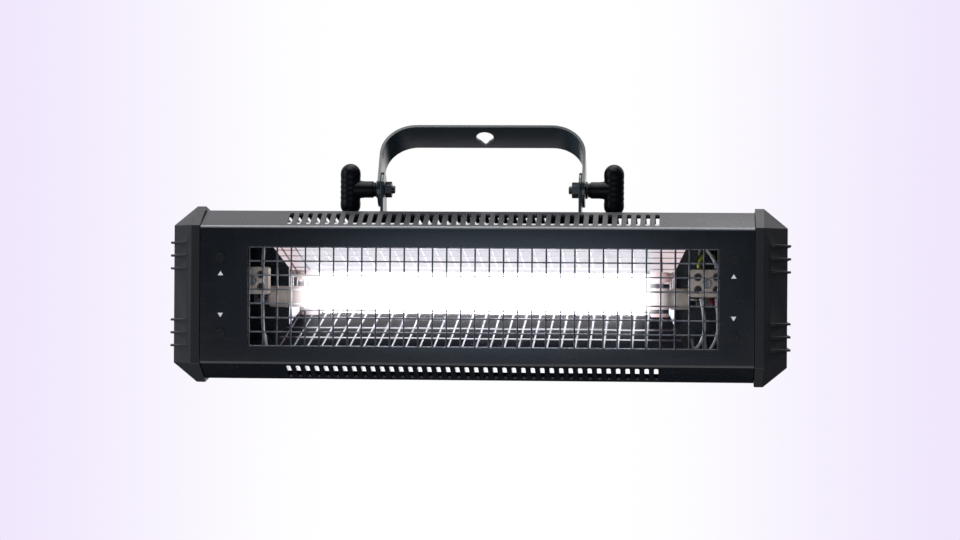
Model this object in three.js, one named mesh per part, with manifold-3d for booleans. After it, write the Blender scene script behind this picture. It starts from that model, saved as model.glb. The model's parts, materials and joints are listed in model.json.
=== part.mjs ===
// Strobe light for stages: a folded sheet case between two moulded end caps, a wire-mesh window,
// a flash tube in a polished trough, the electrics behind it, and a yoke that tilts on two clamp knobs.
// Millimetres. X runs along the lamp, Y from the front to the back, Z up.
// The case is drawn about the middle of its front face; the finished group is moved so that
// the origin is the clamp hole of the yoke, where the light hangs.

import * as THREE from 'three';
import { ConvexGeometry } from 'three/addons/geometries/ConvexGeometry.js';
import { mergeGeometries, mergeVertices } from 'three/addons/utils/BufferGeometryUtils.js';
import Module from 'manifold-3d';

const wasm = await Module();
wasm.setup();

// General clearances

const seatGap = 0.3;
const overrun = 2;
const weldTolerance = 0.0001;

// Case section and sheet

const body = {
  halfLength: 195,
  frontHalf: 48.3,
  ridgeHalf: 60,
  ridgeDepth: 25.5,
  depth: 105,
  sheet: 1.5,
  foldRadius: 2,
};

const windowOpening = { left: -161, right: 170.3, bottom: -36.2, top: 33.8 };

const slots = { count: 40, firstX: -132.5, pitch: 6.65, width: 3, length: 19.6, fromFold: 4.3 };

// Slots in the roof: three groups of the same pitch, left plain where the ears stand
const roofSlots = { firstDepth: 43, length: 38, groups: [[-1, 5], [13, 27], [35, 39]] };

// Long openings in the rear third of the underside
const floorVents = { rows: 2, columns: 5, firstDepth: 66, width: 11, web: 3, length: 49, pitch: 54 };

const grille = {
  pitch: 10,
  wire: 1.2,
  uprights: 34,
  levels: 8,
  overhang: 4,
  weld: 0.3,
  behindCover: 0.4,
};

// End caps

const cap = {
  rimWidth: 6.2,
  rimRidgeProud: 2.9,
  rimFrontProud: 0.6,
  rimRearProud: 2.5,
  faceProud: 0.4,
  reach: 23.15,
  bevelDepth: 26,
  endHalf: 49,
  wall: 3,
  bossRadius: 5,
  bossHole: 1.7,
  bossHeight: 33,
};

const fins = {
  perSide: 3,
  first: 18.3,
  pitch: 9.2,
  thickness: 1.6,
  proud: 2.45,
  root: 1,
  fromFront: 6.5,
  rise: 3,
  endRadius: 1.8,
};

// Bulkheads and the plate behind the trough

const frame = {
  sheet: 1.5,
  flangeReach: 21,
  flangeHalf: 40,
  shelfReach: 43,
  shelfBottom: 5.5,
  shelfTop: 20,
  shelfDepth: 22.5,
  rearFlangeReach: 14,
};

const plate = { depth: 62, sheet: 1.2, half: 46 };

// Trough, tube and what holds them

const axisZ = -1.2;

const trough = {
  sheet: 0.8,
  lipDepth: 17,
  lipHalf: 52.1,
  mouthDepth: 6.5,
  mouthHalf: 37.5,
  backHalf: 11.2,
  mouthLeft: -146.5,
  mouthRight: 149,
  backLeft: -134,
  backRight: 136,
  cheekSheet: 1,
  cheekFront: 42,
  cheekNotch: 14,
};

const lamp = {
  depth: 30,
  radius: 5,
  bore: 3.8,
  halfLength: 121,
  baseLength: 29,
  baseRadius: 7.5,
  neckRadius: 6.4,
  collarLength: 13.5,
  groove: 2,
  pinRadius: 1.5,
  pinLength: 8,
};

const clip = { sheet: 1, half: 6, fromBase: 5, forkDepth: 2.5, foot: 12 };

const block = {
  width: 24.4,
  height: 19.4,
  depth: 10.7,
  frontDepth: 11.5,
  left: -160.3,
  right: 162.3,
  centreZ: 10,
  poleX: 6.6,
  poleZ: 4.4,
  poleRadius: 2.8,
  poleSink: 4,
  screwRadius: 3.5,
  screwSink: 2.4,
  corner: 1.5,
};

const lead = { radius: 1.15, sides: 5, stepsPerPoint: 3, endGap: 0.8 };

// Yoke, ears and clamp knobs

const pivot = { depth: 54, aboveRoof: 20.6 };

const yoke = {
  lean: 34,
  reach: 49.2,
  halfWidth: 74.5,
  strap: 25,
  sheet: 2,
  bend: 25.5,
  holeRadius: 6.4,
  notchReach: 9.6,
  notchRootHalf: 3.4,
  notchTipHalf: 0.7,
};

const ear = { sheet: 2, topRadius: 12.5, foot: 20 };

const rivet = { radius: 2.6, crownRadius: 1.5, head: 1.3, inset: 9, spread: 7 };

const stud = { radius: 3, start: 62.7, chamfer: 0.7 };

const nut = { acrossFlats: 10, height: 4.9, sides: 6 };

const washer = { radius: 6.2, thickness: 1.5 };

const knob = {
  barX: 95.2,
  halfLength: 18.6,
  barRadius: 7.3,
  stemRadius: 6,
  ferruleRadius: 5.2,
  ferruleLength: 1.8,
};

// Back panel: places across the back, seen from the front

const inlet = {
  x: -165,
  flangeWidth: 49,
  flangeHeight: 28,
  flange: 2.5,
  bodyWidth: 28,
  bodyHeight: 20.5,
  bodyDepth: 20,
  mouthWidth: 24.6,
  mouthHeight: 16.6,
  mouthDepth: 15,
  mouthCorner: 3.5,
  pinWide: 4,
  pinThick: 2,
  pinLong: 9.5,
  pinSpread: 7,
  pinRise: 2,
  screwSpread: 20,
};

const fuse = {
  x: -120,
  flangeRadius: 8.5,
  flange: 2,
  bodyRadius: 6.2,
  bodyDepth: 24,
  capRadius: 6.6,
  capLength: 7,
  slot: 1.4,
  slotSink: 1.6,
};

const dmx = {
  inX: 96,
  outX: 134,
  flangeWidth: 26,
  flangeHeight: 31,
  corner: 3,
  flange: 2,
  bodyRadius: 11.8,
  bodyDepth: 18,
  mouthRadius: 9.5,
  mouthDepth: 13.5,
  pinRadius: 1.2,
  pinLength: 8.3,
  pinCircle: 3.5,
  coreRadius: 6.6,
  screwX: 9.5,
  screwZ: 12,
};

const fan = {
  x: -62,
  size: 60,
  depth: 15,
  wall: 2,
  hubRadius: 11.5,
  cupRadius: 12.3,
  cupDepth: 2.5,
  strutWidth: 4,
  strutRoot: 1,
  rotorDepth: 9.6,
  blades: 7,
  tipGap: 1.2,
  bladeThickness: 1.2,
  bladeChord: 12,
  rootAngle: 48,
  tipAngle: 62,
  screwInset: 5,
  corner: 4,
  guardWire: 1.4,
  guardRings: 2,
  guardInset: 5,
  eyeRadius: 4,
};

const panel = {
  displayX: 20,
  displayZ: 9,
  displayWidth: 38,
  displayHeight: 15,
  displayLap: 2,
  displaySheet: 1.2,
  buttonZ: -14,
  buttonPitch: 11,
  buttonRadius: 3,
  buttonGap: 0.8,
  buttonProud: 1.8,
  buttonCrown: 0.4,
  buttonFlange: 4,
  buttonFlangeSheet: 1.4,
};

const board = {
  width: 84,
  height: 56,
  sheet: 1.6,
  standoff: 4.6,
  postRadius: 2.5,
  postInset: 4,
  relayWidth: 17,
  relayHeight: 14,
  relayDepth: 7,
  relaySpread: 21,
};

const caps = { x: [65, 125], z: 24, radius: 12.5, length: 46, lip: 1, strapWidth: 9, strapSheet: 0.8, foot: 7 };

const coil = { x: 2, z: 24, radius: 7.5, flangeRadius: 11, length: 24, flange: 2 };

const resistor = { x: -150, z: 26, width: 48, height: 10, depth: 9.5, corner: 1, lug: 6, lugSheet: 1.2 };

// Fasteners

const coverScrew = { x: 180.5, top: 26.3, bottom: -27.4, headRadius: 3.6, head: 2, shankRadius: 1.9, length: 7 };
const shellScrew = { x: 186.5, z: 34, headRadius: 3.4, head: 1.8 };
const panelScrew = { headRadius: 2.8, head: 1.5 };
const fanScrew = { headRadius: 3.5, head: 2 };
const capScrew = { depth: 52, headRadius: 3.2, head: 1.8, shankRadius: 1.4, length: 10 };
const screwWeld = 0.2;

// Facet counts

const facets = { wire: 4, screw: 8, slotEnd: 2, fold: 2, ribEnd: 1, bend: 6, bore: 8, round: 12, knob: 12, ring: 18 };

// Finishes: colour, roughness, metalness

const finishes = {
  blackPaint: [0x16181b, 0.55, 0.2],
  moulded: [0x1d1f22, 0.6, 0.1],
  wire: [0x2a2a2e, 0.4, 0.8],
  polished: [0xd5d7dc, 0.12, 1],
  zinc: [0x9b9da1, 0.4, 0.9],
  blackSteel: [0x121315, 0.45, 0.6],
  ceramic: [0xb3aca2, 0.7, 0],
  glass: [0xf4f2ff, 0.1, 0],
  whiteLead: [0xd9d9de, 0.45, 0],
  brownLead: [0x6b4028, 0.5, 0],
  redLead: [0x7a1626, 0.5, 0],
  earthLead: [0xa9b01e, 0.5, 0],
  plastic: [0x101113, 0.5, 0],
  capacitor: [0x2b4370, 0.4, 0.1],
  copper: [0x9a5a2c, 0.4, 0.7],
  board: [0x1f5a34, 0.6, 0],
  display: [0x2a0a0c, 0.15, 0],
};

// Solids

function toSolid(geometry) {
  const bare = geometry.clone();
  bare.deleteAttribute('normal');
  bare.deleteAttribute('uv');
  const merged = mergeVertices(bare, weldTolerance);
  const mesh = new wasm.Mesh({
    numProp: 3,
    vertProperties: Float32Array.from(merged.attributes.position.array),
    triVerts: Uint32Array.from(merged.index.array),
  });
  return new wasm.Manifold(mesh);
}

function toGeometry(solid) {
  const mesh = solid.getMesh();
  const geometry = new THREE.BufferGeometry();
  geometry.setAttribute('position', new THREE.BufferAttribute(Float32Array.from(mesh.vertProperties), 3));
  geometry.setIndex(new THREE.BufferAttribute(Uint32Array.from(mesh.triVerts), 1));
  return geometry;
}

function joined(geometries) {
  const [first, ...others] = geometries.map(toSolid);
  return toGeometry(others.reduce((whole, piece) => whole.add(piece), first));
}

function cutFrom(geometry, cutters) {
  return toGeometry(cutters.map(toSolid).reduce((whole, cutter) => whole.subtract(cutter), toSolid(geometry)));
}

function common(geometry, other) {
  return toGeometry(toSolid(geometry).intersect(toSolid(other)));
}

// Several separate solids in one geometry
function together(geometries) {
  const bare = geometries.map((geometry) => {
    const loose = geometry.index ? geometry.toNonIndexed() : geometry.clone();
    loose.deleteAttribute('normal');
    loose.deleteAttribute('uv');
    return loose;
  });
  return mergeGeometries(bare);
}

function mirrored(geometry) {
  const loose = geometry.index ? geometry.toNonIndexed() : geometry.clone();
  const place = loose.attributes.position;
  for (let corner = 0; corner < place.count; corner += 3) {
    const points = [0, 2, 1].map((step) => new THREE.Vector3().fromBufferAttribute(place, corner + step));
    points.forEach((point, step) => place.setXYZ(corner + step, -point.x, point.y, point.z));
  }
  return loose;
}

// Outlines are lists of [a, b]; they are extruded along one axis between two places

function extruded(outline, from, to, axes, holes = []) {
  const shape = new THREE.Shape(outline.map(([a, b]) => new THREE.Vector2(a, b)));
  shape.holes = holes.map((hole) => new THREE.Path(hole.map(([a, b]) => new THREE.Vector2(a, b))));
  const geometry = new THREE.ExtrudeGeometry(shape, { depth: to - from, bevelEnabled: false, curveSegments: 1 });
  geometry.translate(0, 0, from);
  return geometry.applyMatrix4(axes);
}

const alongX = new THREE.Matrix4().makeBasis(
  new THREE.Vector3(0, 1, 0),
  new THREE.Vector3(0, 0, 1),
  new THREE.Vector3(1, 0, 0),
);
const alongZ = new THREE.Matrix4();
const alongMinusY = new THREE.Matrix4().makeBasis(
  new THREE.Vector3(1, 0, 0),
  new THREE.Vector3(0, 0, 1),
  new THREE.Vector3(0, -1, 0),
);

// An outline in [y, z] between two places in x
function barX(outline, from, to, holes) {
  return extruded(outline, from, to, alongX, holes);
}

// An outline in [x, z] between two depths
function barY(outline, from, to, holes) {
  return extruded(outline, -to, -from, alongMinusY, holes);
}

// An outline in [x, y] between two heights
function barZ(outline, from, to, holes) {
  return extruded(outline, from, to, alongZ, holes);
}

function rectangle(left, right, bottom, top) {
  return [[left, bottom], [right, bottom], [right, top], [left, top]];
}

function circle(centreA, centreB, radius, sides) {
  return Array.from({ length: sides }, (_, side) => {
    const angle = (side / sides) * 2 * Math.PI;
    return [centreA + radius * Math.cos(angle), centreB + radius * Math.sin(angle)];
  });
}

// Corner radius of a many-sided hole whose flats clear a round piece by the usual gap
function clearance(radius, sides) {
  return (radius + seatGap) / Math.cos(Math.PI / sides);
}

// A slot with round ends, its length along the second axis
function slotOutline(width, length, steps) {
  const radius = width / 2;
  const straight = length / 2 - radius;
  const points = [];
  for (let step = 0; step <= steps; step += 1) {
    const angle = (step / steps) * Math.PI;
    points.push([radius * Math.cos(angle), straight + radius * Math.sin(angle)]);
  }
  return points.concat(points.map(([a, b]) => [-a, -b]));
}

// A rectangle with its corners cut off
function clippedRectangle(width, height, corner) {
  const a = width / 2;
  const b = height / 2;
  return [
    [-a + corner, -b], [a - corner, -b], [a, -b + corner], [a, b - corner],
    [a - corner, b], [-a + corner, b], [-a, b - corner], [-a, -b + corner],
  ];
}

function shifted(outline, a, b) {
  return outline.map(([u, v]) => [u + a, v + b]);
}

// An open path moved to its left by a distance, with mitred corners
function offsetPath(points, distance) {
  const normals = points.slice(1).map(([a, b], index) => {
    const [fromA, fromB] = points[index];
    const length = Math.hypot(a - fromA, b - fromB);
    return [-(b - fromB) / length, (a - fromA) / length];
  });
  return points.map(([a, b], index) => {
    const before = normals[Math.max(index - 1, 0)];
    const after = normals[Math.min(index, normals.length - 1)];
    const share = distance / (1 + before[0] * after[0] + before[1] * after[1]);
    return [a + (before[0] + after[0]) * share, b + (before[1] + after[1]) * share];
  });
}

// An open path with its inner corners rounded
function roundedPath(points, radius, steps) {
  const result = [points[0]];
  for (let index = 1; index < points.length - 1; index += 1) {
    const corner = new THREE.Vector2(...points[index]);
    const back = new THREE.Vector2(...points[index - 1]).sub(corner).normalize();
    const ahead = new THREE.Vector2(...points[index + 1]).sub(corner).normalize();
    const half = Math.acos(THREE.MathUtils.clamp(back.dot(ahead), -1, 1)) / 2;
    const tangent = radius / Math.tan(half);
    const centre = back.clone().add(ahead).normalize().multiplyScalar(radius / Math.sin(half)).add(corner);
    const first = back.multiplyScalar(tangent).add(corner).sub(centre);
    const last = ahead.multiplyScalar(tangent).add(corner).sub(centre);
    const turn = Math.atan2(first.cross(last), first.dot(last));
    for (let step = 0; step <= steps; step += 1) {
      const angle = (turn * step) / steps;
      const cos = Math.cos(angle);
      const sin = Math.sin(angle);
      result.push([centre.x + first.x * cos - first.y * sin, centre.y + first.x * sin + first.y * cos]);
    }
  }
  result.push(points[points.length - 1]);
  return result;
}

// The point of a line through two points where the first coordinate has a given value
function pointAt(a, [fromA, fromB], [toA, toB]) {
  return [a, fromB + ((toB - fromB) * (a - fromA)) / (toA - fromA)];
}

// The outline of a bent sheet whose outer face follows a path, with the sheet on the path's left
function sheetOutline(points, sheet, radius) {
  const outer = radius > 0 ? roundedPath(points, radius, facets.fold) : points;
  const inner = offsetPath(points, sheet);
  const inside = radius > sheet ? roundedPath(inner, radius - sheet, facets.fold) : inner;
  return outer.concat(inside.reverse());
}

// The same for a sheet whose two edges are cut square to the first axis
function squareSheetOutline(points, sheet, radius) {
  const inner = offsetPath(points, sheet);
  const last = points.length - 1;
  inner[0] = pointAt(points[0][0], inner[0], inner[1]);
  inner[last] = pointAt(points[last][0], inner[last - 1], inner[last]);
  const inside = roundedPath(inner, radius - sheet, facets.fold);
  return roundedPath(points, radius, facets.fold).concat(inside.reverse());
}

// A turned piece: [radius, place] pairs along an axis, closed on the axis
function turned(profile, sides, axis) {
  const points = profile.map(([radius, place]) => new THREE.Vector2(radius, place));
  const geometry = new THREE.LatheGeometry(points, sides);
  if (axis === 'x') {
    geometry.rotateZ(-Math.PI / 2);
  } else if (axis === 'z') {
    geometry.rotateX(Math.PI / 2);
  }
  return geometry;
}

function rod(radius, from, to, sides, axis) {
  return turned([[0, from], [radius, from], [radius, to], [0, to]], sides, axis);
}

function tube(radius, bore, from, to, sides, axis) {
  return turned([[bore, from], [radius, from], [radius, to], [bore, to], [bore, from]], sides, axis);
}

// A pan-head screw along Y: the head's seat at zero, the shank towards +Y
function screwY(size) {
  const { headRadius, head, shankRadius, length } = size;
  return turned([
    [0, -head],
    [headRadius, -head],
    [headRadius, 0],
    [shankRadius, 0],
    [shankRadius, length],
    [0, length],
  ], facets.screw, 'y');
}

// Half height of the case at a depth
function caseHalfAt(depth) {
  if (depth <= body.ridgeDepth) {
    return body.frontHalf + ((body.ridgeHalf - body.frontHalf) * depth) / body.ridgeDepth;
  }
  const share = (depth - body.ridgeDepth) / (body.depth - body.ridgeDepth);
  return body.ridgeHalf + (body.frontHalf - body.ridgeHalf) * share;
}

const chamferAngle = Math.atan2(body.ridgeHalf - body.frontHalf, body.ridgeDepth);
const roofAngle = Math.atan2(body.ridgeHalf - body.frontHalf, body.depth - body.ridgeDepth);
const cutDepth = body.sheet + overrun;
const pivotZ = caseHalfAt(pivot.depth) + pivot.aboveRoof;
const panelFace = body.depth - body.sheet - seatGap;
const boardBack = panelFace - board.standoff;
const fanBore = fan.size / 2 - fan.wall;
const fanScrewSpread = fan.size / 2 - fan.screwInset;

// Cutters through the top sheet or, turned over, through the bottom one
function slopeCutter(outline, x, depth, angle, side) {
  const cutter = barZ(outline, -cutDepth, cutDepth);
  cutter.rotateX(side * angle);
  cutter.translate(x, depth, side * caseHalfAt(depth));
  return cutter;
}

// Front cover

function frontCover() {
  const { halfLength, frontHalf, ridgeHalf, ridgeDepth, sheet, foldRadius } = body;
  const path = [[ridgeDepth, ridgeHalf], [0, frontHalf], [0, -frontHalf], [ridgeDepth, -ridgeHalf]];
  const folded = barX(squareSheetOutline(path, sheet, foldRadius), -halfLength, halfLength);
  const { left, right, bottom, top } = windowOpening;
  const cutters = [barY(rectangle(left, right, bottom, top), -overrun, sheet + overrun)];
  const slot = slotOutline(slots.width, slots.length, facets.slotEnd);
  const middle = (slots.fromFold + slots.length / 2) * Math.cos(chamferAngle);
  const rows = [];
  for (const side of [1, -1]) {
    for (let index = 0; index < slots.count; index += 1) {
      rows.push(slopeCutter(slot, slots.firstX + index * slots.pitch, middle, chamferAngle, side));
    }
  }
  cutters.push(together(rows));
  const holes = coverScrewPlaces().map(([x, z]) => barY(
    circle(x, z, clearance(coverScrew.shankRadius, facets.screw), facets.screw), -overrun, sheet + overrun,
  ));
  cutters.push(together(holes));
  return cutFrom(folded, cutters);
}

function coverScrewPlaces() {
  const { x, top, bottom } = coverScrew;
  return [[-x, top], [-x, bottom], [x, top], [x, bottom]];
}


// Welded mesh: upright wires in front, level wires behind, sunk a little into each other where they cross.
// A wire is a rod of four sides that shows its edge to the front and to the crossing wire.

function wireMesh() {
  const { pitch, wire, uprights, levels, overhang, weld, behindCover } = grille;
  const middleX = (windowOpening.left + windowOpening.right) / 2;
  const middleZ = (windowOpening.bottom + windowOpening.top) / 2;
  const firstX = middleX - (pitch * (uprights - 1)) / 2;
  const firstZ = middleZ - (pitch * (levels - 1)) / 2;
  const radius = wire / 2;
  const uprightDepth = body.sheet + behindCover + radius;
  const levelDepth = uprightDepth + wire - weld;
  const halfHeight = middleZ - firstZ + overhang;
  const halfWidth = middleX - firstX + overhang;
  const standing = Array.from({ length: uprights }, (_, index) => (
    rod(radius, middleZ - halfHeight, middleZ + halfHeight, facets.wire, 'z')
      .translate(firstX + index * pitch, uprightDepth, 0)
  ));
  const lying = Array.from({ length: levels }, (_, index) => (
    rod(radius, middleX - halfWidth, middleX + halfWidth, facets.wire, 'x')
      .translate(0, levelDepth, firstZ + index * pitch)
  ));
  return joined([together(standing), together(lying)]);
}

// Rear shell: roof, back and floor in one folded sheet

function rearShell() {
  const { halfLength, frontHalf, ridgeDepth, depth, sheet, foldRadius } = body;
  const start = ridgeDepth + seatGap;
  const edge = caseHalfAt(start);
  const path = [[start, -edge], [depth, -frontHalf], [depth, frontHalf], [start, edge]];
  const folded = barX(squareSheetOutline(path, sheet, foldRadius), -halfLength, halfLength);
  const cutters = [];
  const roofSlot = slotOutline(slots.width, roofSlots.length, facets.slotEnd);
  const roofMiddle = roofSlots.firstDepth + (roofSlots.length / 2) * Math.cos(roofAngle);
  for (const [first, last] of roofSlots.groups) {
    for (let index = first; index <= last; index += 1) {
      cutters.push(slopeCutter(roofSlot, slots.firstX + index * slots.pitch, roofMiddle, -roofAngle, 1));
    }
  }
  const { rows, columns, firstDepth, width, web, length, pitch } = floorVents;
  const vent = slotOutline(width, length, facets.slotEnd).map(([a, b]) => [b, a]);
  const middleX = slots.firstX + (slots.pitch * (slots.count - 1)) / 2;
  for (let row = 0; row < rows; row += 1) {
    const along = firstDepth + (width / 2 + row * (width + web)) * Math.cos(roofAngle);
    for (let column = 0; column < columns; column += 1) {
      const x = middleX + (column - (columns - 1) / 2) * pitch;
      cutters.push(slopeCutter(vent, x, along, -roofAngle, -1));
    }
  }
  const slotted = cutFrom(folded, [together(cutters), together(backOpenings())]);
  return joined([slotted, ...shellScrewPlaces().map(([x, z]) => backHead(shellScrew, x, z, body.depth))]);
}

// Every opening in the back panel, as cutters
function backOpenings() {
  const from = body.depth - cutDepth;
  const to = body.depth + overrun;
  const outlines = [
    shifted(clippedRectangle(inlet.bodyWidth + seatGap * 2, inlet.bodyHeight + seatGap * 2, inlet.mouthCorner), inlet.x, 0),
    circle(fuse.x, 0, clearance(fuse.bodyRadius, facets.round), facets.round),
    circle(dmx.inX, 0, clearance(dmx.bodyRadius, facets.round), facets.round),
    circle(dmx.outX, 0, clearance(dmx.bodyRadius, facets.round), facets.round),
    circle(fan.x, 0, fanBore, facets.ring),
    rectangle(
      panel.displayX - panel.displayWidth / 2, panel.displayX + panel.displayWidth / 2,
      panel.displayZ - panel.displayHeight / 2, panel.displayZ + panel.displayHeight / 2,
    ),
    ...buttonPlaces().map((x) => circle(x, panel.buttonZ, clearance(panel.buttonRadius, facets.bore), facets.bore)),
  ];
  return outlines.map((outline) => barY(outline, from, to));
}

function shellScrewPlaces() {
  const { x, z } = shellScrew;
  return [[-x, z], [-x, -z], [x, z], [x, -z]];
}

// The head of a screw driven from behind, bedded a little in the face that it holds
function backHead({ headRadius, head }, x, z, face) {
  return rod(headRadius, face - screwWeld, face + head, facets.screw, 'y').translate(x, 0, z);
}

// End caps: the right one is drawn, the left one is its mirror image

function capSection(proudFront, proudRidge, proudRear, faceProud) {
  const front = body.frontHalf + proudFront;
  const ridge = body.ridgeHalf + proudRidge;
  const rear = body.frontHalf + proudRear;
  return [
    [-faceProud, front], [-faceProud, -front],
    [body.ridgeDepth, -ridge], [body.depth + faceProud, -rear],
    [body.depth + faceProud, rear], [body.ridgeDepth, ridge],
  ];
}

function capBody(section, rimPlaces, endX, endFront, endRear, endHalf) {
  const points = [];
  for (const x of rimPlaces) {
    for (const [y, z] of section) {
      points.push(new THREE.Vector3(x, y, z));
    }
  }
  for (const y of [endFront, endRear]) {
    for (const z of [-endHalf, endHalf]) {
      points.push(new THREE.Vector3(endX, y, z));
    }
  }
  return new ConvexGeometry(points);
}

function capPlan() {
  const rimInner = body.halfLength + seatGap;
  const rimOuter = rimInner + cap.rimWidth;
  const endX = rimInner + cap.reach;
  const front = -cap.faceProud;
  const rear = body.depth + cap.faceProud;
  return { rimInner, rimOuter, endX, front, rear, endFront: front + cap.bevelDepth, endRear: rear - cap.bevelDepth };
}

function rightCap() {
  const plan = capPlan();
  const outer = capBody(
    capSection(cap.rimFrontProud, cap.rimRidgeProud, cap.rimRearProud, cap.faceProud),
    [plan.rimInner, plan.rimOuter], plan.endX, plan.endFront, plan.endRear, cap.endHalf,
  );
  const path = [[plan.rimOuter, plan.front], [plan.endX, plan.endFront], [plan.endX, plan.endRear], [plan.rimOuter, plan.rear]];
  const inside = offsetPath(path, cap.wall);
  const cavity = capBody(
    capSection(
      cap.rimFrontProud - cap.wall, cap.rimRidgeProud - cap.wall, cap.rimRearProud - cap.wall,
      cap.faceProud - cap.wall,
    ),
    [plan.rimInner - overrun, inside[0][0]], inside[1][0], inside[1][1], inside[2][1], cap.endHalf - cap.wall,
  );
  const shell = cutFrom(outer, [cavity]);
  const bosses = [1, -1].map((side) => {
    const boss = tube(cap.bossRadius, cap.bossHole, plan.rimInner, plan.endX - cap.wall / 2, facets.bore, 'x');
    return boss.translate(0, capScrew.depth, side * cap.bossHeight);
  });
  return joined([shell, together(bosses), together(capFins(path))]);
}

// Ribs that wrap the end face and both bevels
function capFins(path) {
  const [front, endFront, endRear, rear] = path;
  const share = fins.fromFront / cap.bevelDepth;
  const start = [front[0] + (endFront[0] - front[0]) * share, front[1] + (endFront[1] - front[1]) * share];
  const end = [rear[0] + (endRear[0] - rear[0]) * share, rear[1] + (endRear[1] - rear[1]) * share];
  const ridge = [start, endFront, endRear, end];
  const outer = offsetPath(ridge, -fins.proud);
  const inner = offsetPath(ridge, fins.root);
  const slopeX = (endFront[0] - start[0]) / (endFront[1] - start[1]);
  const first = [outer[0][0] + fins.rise * slopeX, outer[0][1] + fins.rise];
  const last = [outer[3][0] + fins.rise * slopeX, outer[3][1] - fins.rise];
  const rise = roundedPath([inner[0], first, outer[1], outer[2], last, inner[3]], fins.endRadius, facets.ribEnd);
  const outline = rise.concat([inner[2], inner[1]]);
  const halfThickness = fins.thickness / 2;
  const places = [];
  for (const side of [1, -1]) {
    for (let index = 0; index < fins.perSide; index += 1) {
      places.push(side * (fins.first + index * fins.pitch));
    }
  }
  return places.map((z) => barZ(outline, z - halfThickness, z + halfThickness));
}

// Bulkhead at the right end; the left one is its mirror image

function rightFrame() {
  const { halfLength, sheet, depth } = body;
  const inset = sheet + seatGap;
  const slopeInset = inset / Math.cos(chamferAngle);
  const outline = capSection(-slopeInset, -slopeInset, -slopeInset, -inset);
  const inner = halfLength - frame.sheet;
  const wall = barX(outline, inner, halfLength);
  const frontFace = inset;
  const flange = barY(
    rectangle(halfLength - frame.flangeReach, halfLength, -frame.flangeHalf, frame.flangeHalf),
    frontFace, frontFace + frame.sheet,
  );
  const rearFace = depth - inset;
  const rearFlange = barY(
    rectangle(halfLength - frame.rearFlangeReach, halfLength, -frame.flangeHalf, frame.flangeHalf),
    rearFace - frame.sheet, rearFace,
  );
  const shelf = barY(
    rectangle(halfLength - frame.shelfReach, halfLength, frame.shelfBottom, frame.shelfTop),
    frame.shelfDepth, frame.shelfDepth + frame.sheet,
  );
  const whole = joined([wall, flange, rearFlange, shelf]);
  const coverHoles = [coverScrew.top, coverScrew.bottom].map((z) => barY(
    circle(coverScrew.x, z, clearance(coverScrew.shankRadius, facets.screw), facets.screw), frontFace - overrun,
    frontFace + frame.sheet + overrun,
  ));
  // the screws that hold the end cap are driven from inside
  const capScrews = [1, -1].map((side) => (
    screwY(capScrew).rotateZ(-Math.PI / 2).translate(inner + screwWeld, capScrew.depth, side * cap.bossHeight)
  ));
  return joined([cutFrom(whole, [together(coverHoles)]), ...capScrews]);
}

// Plate across the case, behind the trough

function chassisPlate() {
  const reach = body.halfLength - frame.sheet - seatGap;
  return barY(rectangle(-reach, reach, -plate.half, plate.half), plate.depth, plate.depth + plate.sheet);
}

// Trough: lips, flared panels and back in one folded sheet, trimmed to the slant of its cheeks

function troughPlan(inset) {
  const { mouthDepth, mouthLeft, mouthRight, backLeft, backRight } = trough;
  const back = plate.depth - seatGap;
  const corner = (mouth, rear, depth, shift) => [
    mouth + ((rear - mouth) * (depth - mouthDepth)) / (back - mouthDepth) + shift, depth,
  ];
  return [
    corner(mouthLeft, backLeft, mouthDepth - overrun, inset),
    corner(mouthRight, backRight, mouthDepth - overrun, -inset),
    corner(mouthRight, backRight, back + overrun, -inset),
    corner(mouthLeft, backLeft, back + overrun, inset),
  ];
}

function reflectorSheet() {
  const back = plate.depth - seatGap;
  const { lipDepth, lipHalf, mouthDepth, mouthHalf, backHalf, sheet } = trough;
  const path = [
    [lipDepth, axisZ - lipHalf],
    [mouthDepth, axisZ - mouthHalf],
    [back, axisZ - backHalf],
    [back, axisZ + backHalf],
    [mouthDepth, axisZ + mouthHalf],
    [lipDepth, axisZ + lipHalf],
  ];
  const wide = trough.mouthRight - trough.mouthLeft;
  const folded = barX(sheetOutline(path, sheet, 0), -wide, wide);
  return common(folded, barZ(troughPlan(trough.cheekSheet + seatGap), -wide, wide));
}

// A cheek closes the deep end of the trough and is notched about the lamp; side is -1 on the left
function cheek(side) {
  const { mouthDepth, mouthHalf, backHalf, cheekSheet, cheekFront, cheekNotch } = trough;
  const mouthX = side < 0 ? trough.mouthLeft : trough.mouthRight;
  const backX = side < 0 ? trough.backLeft : trough.backRight;
  const back = plate.depth - seatGap;
  const frontHalf = pointAt(cheekFront, [mouthDepth, mouthHalf], [back, backHalf])[1];
  const outline = [
    [cheekFront, axisZ - frontHalf], [back, axisZ - backHalf], [back, axisZ + backHalf], [cheekFront, axisZ + frontHalf],
  ];
  const notch = rod(cheekNotch, -cheekSheet - overrun, overrun, facets.ring, 'x').translate(0, lamp.depth, axisZ);
  const flat = cutFrom(barX(outline, -cheekSheet, 0), [notch]);
  const lean = (backX - mouthX) / (back - mouthDepth);
  const slant = new THREE.Matrix4().set(
    1, lean, 0, mouthX - lean * trough.mouthDepth + (side < 0 ? trough.cheekSheet : 0),
    0, 1, 0, 0,
    0, 0, 1, 0,
    0, 0, 0, 1,
  );
  return flat.applyMatrix4(slant);
}

// Flash tube

function lampTube() {
  const { radius, bore, halfLength, depth } = lamp;
  return tube(radius, bore, -halfLength, halfLength, facets.round, 'x').translate(0, depth, axisZ);
}

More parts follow.
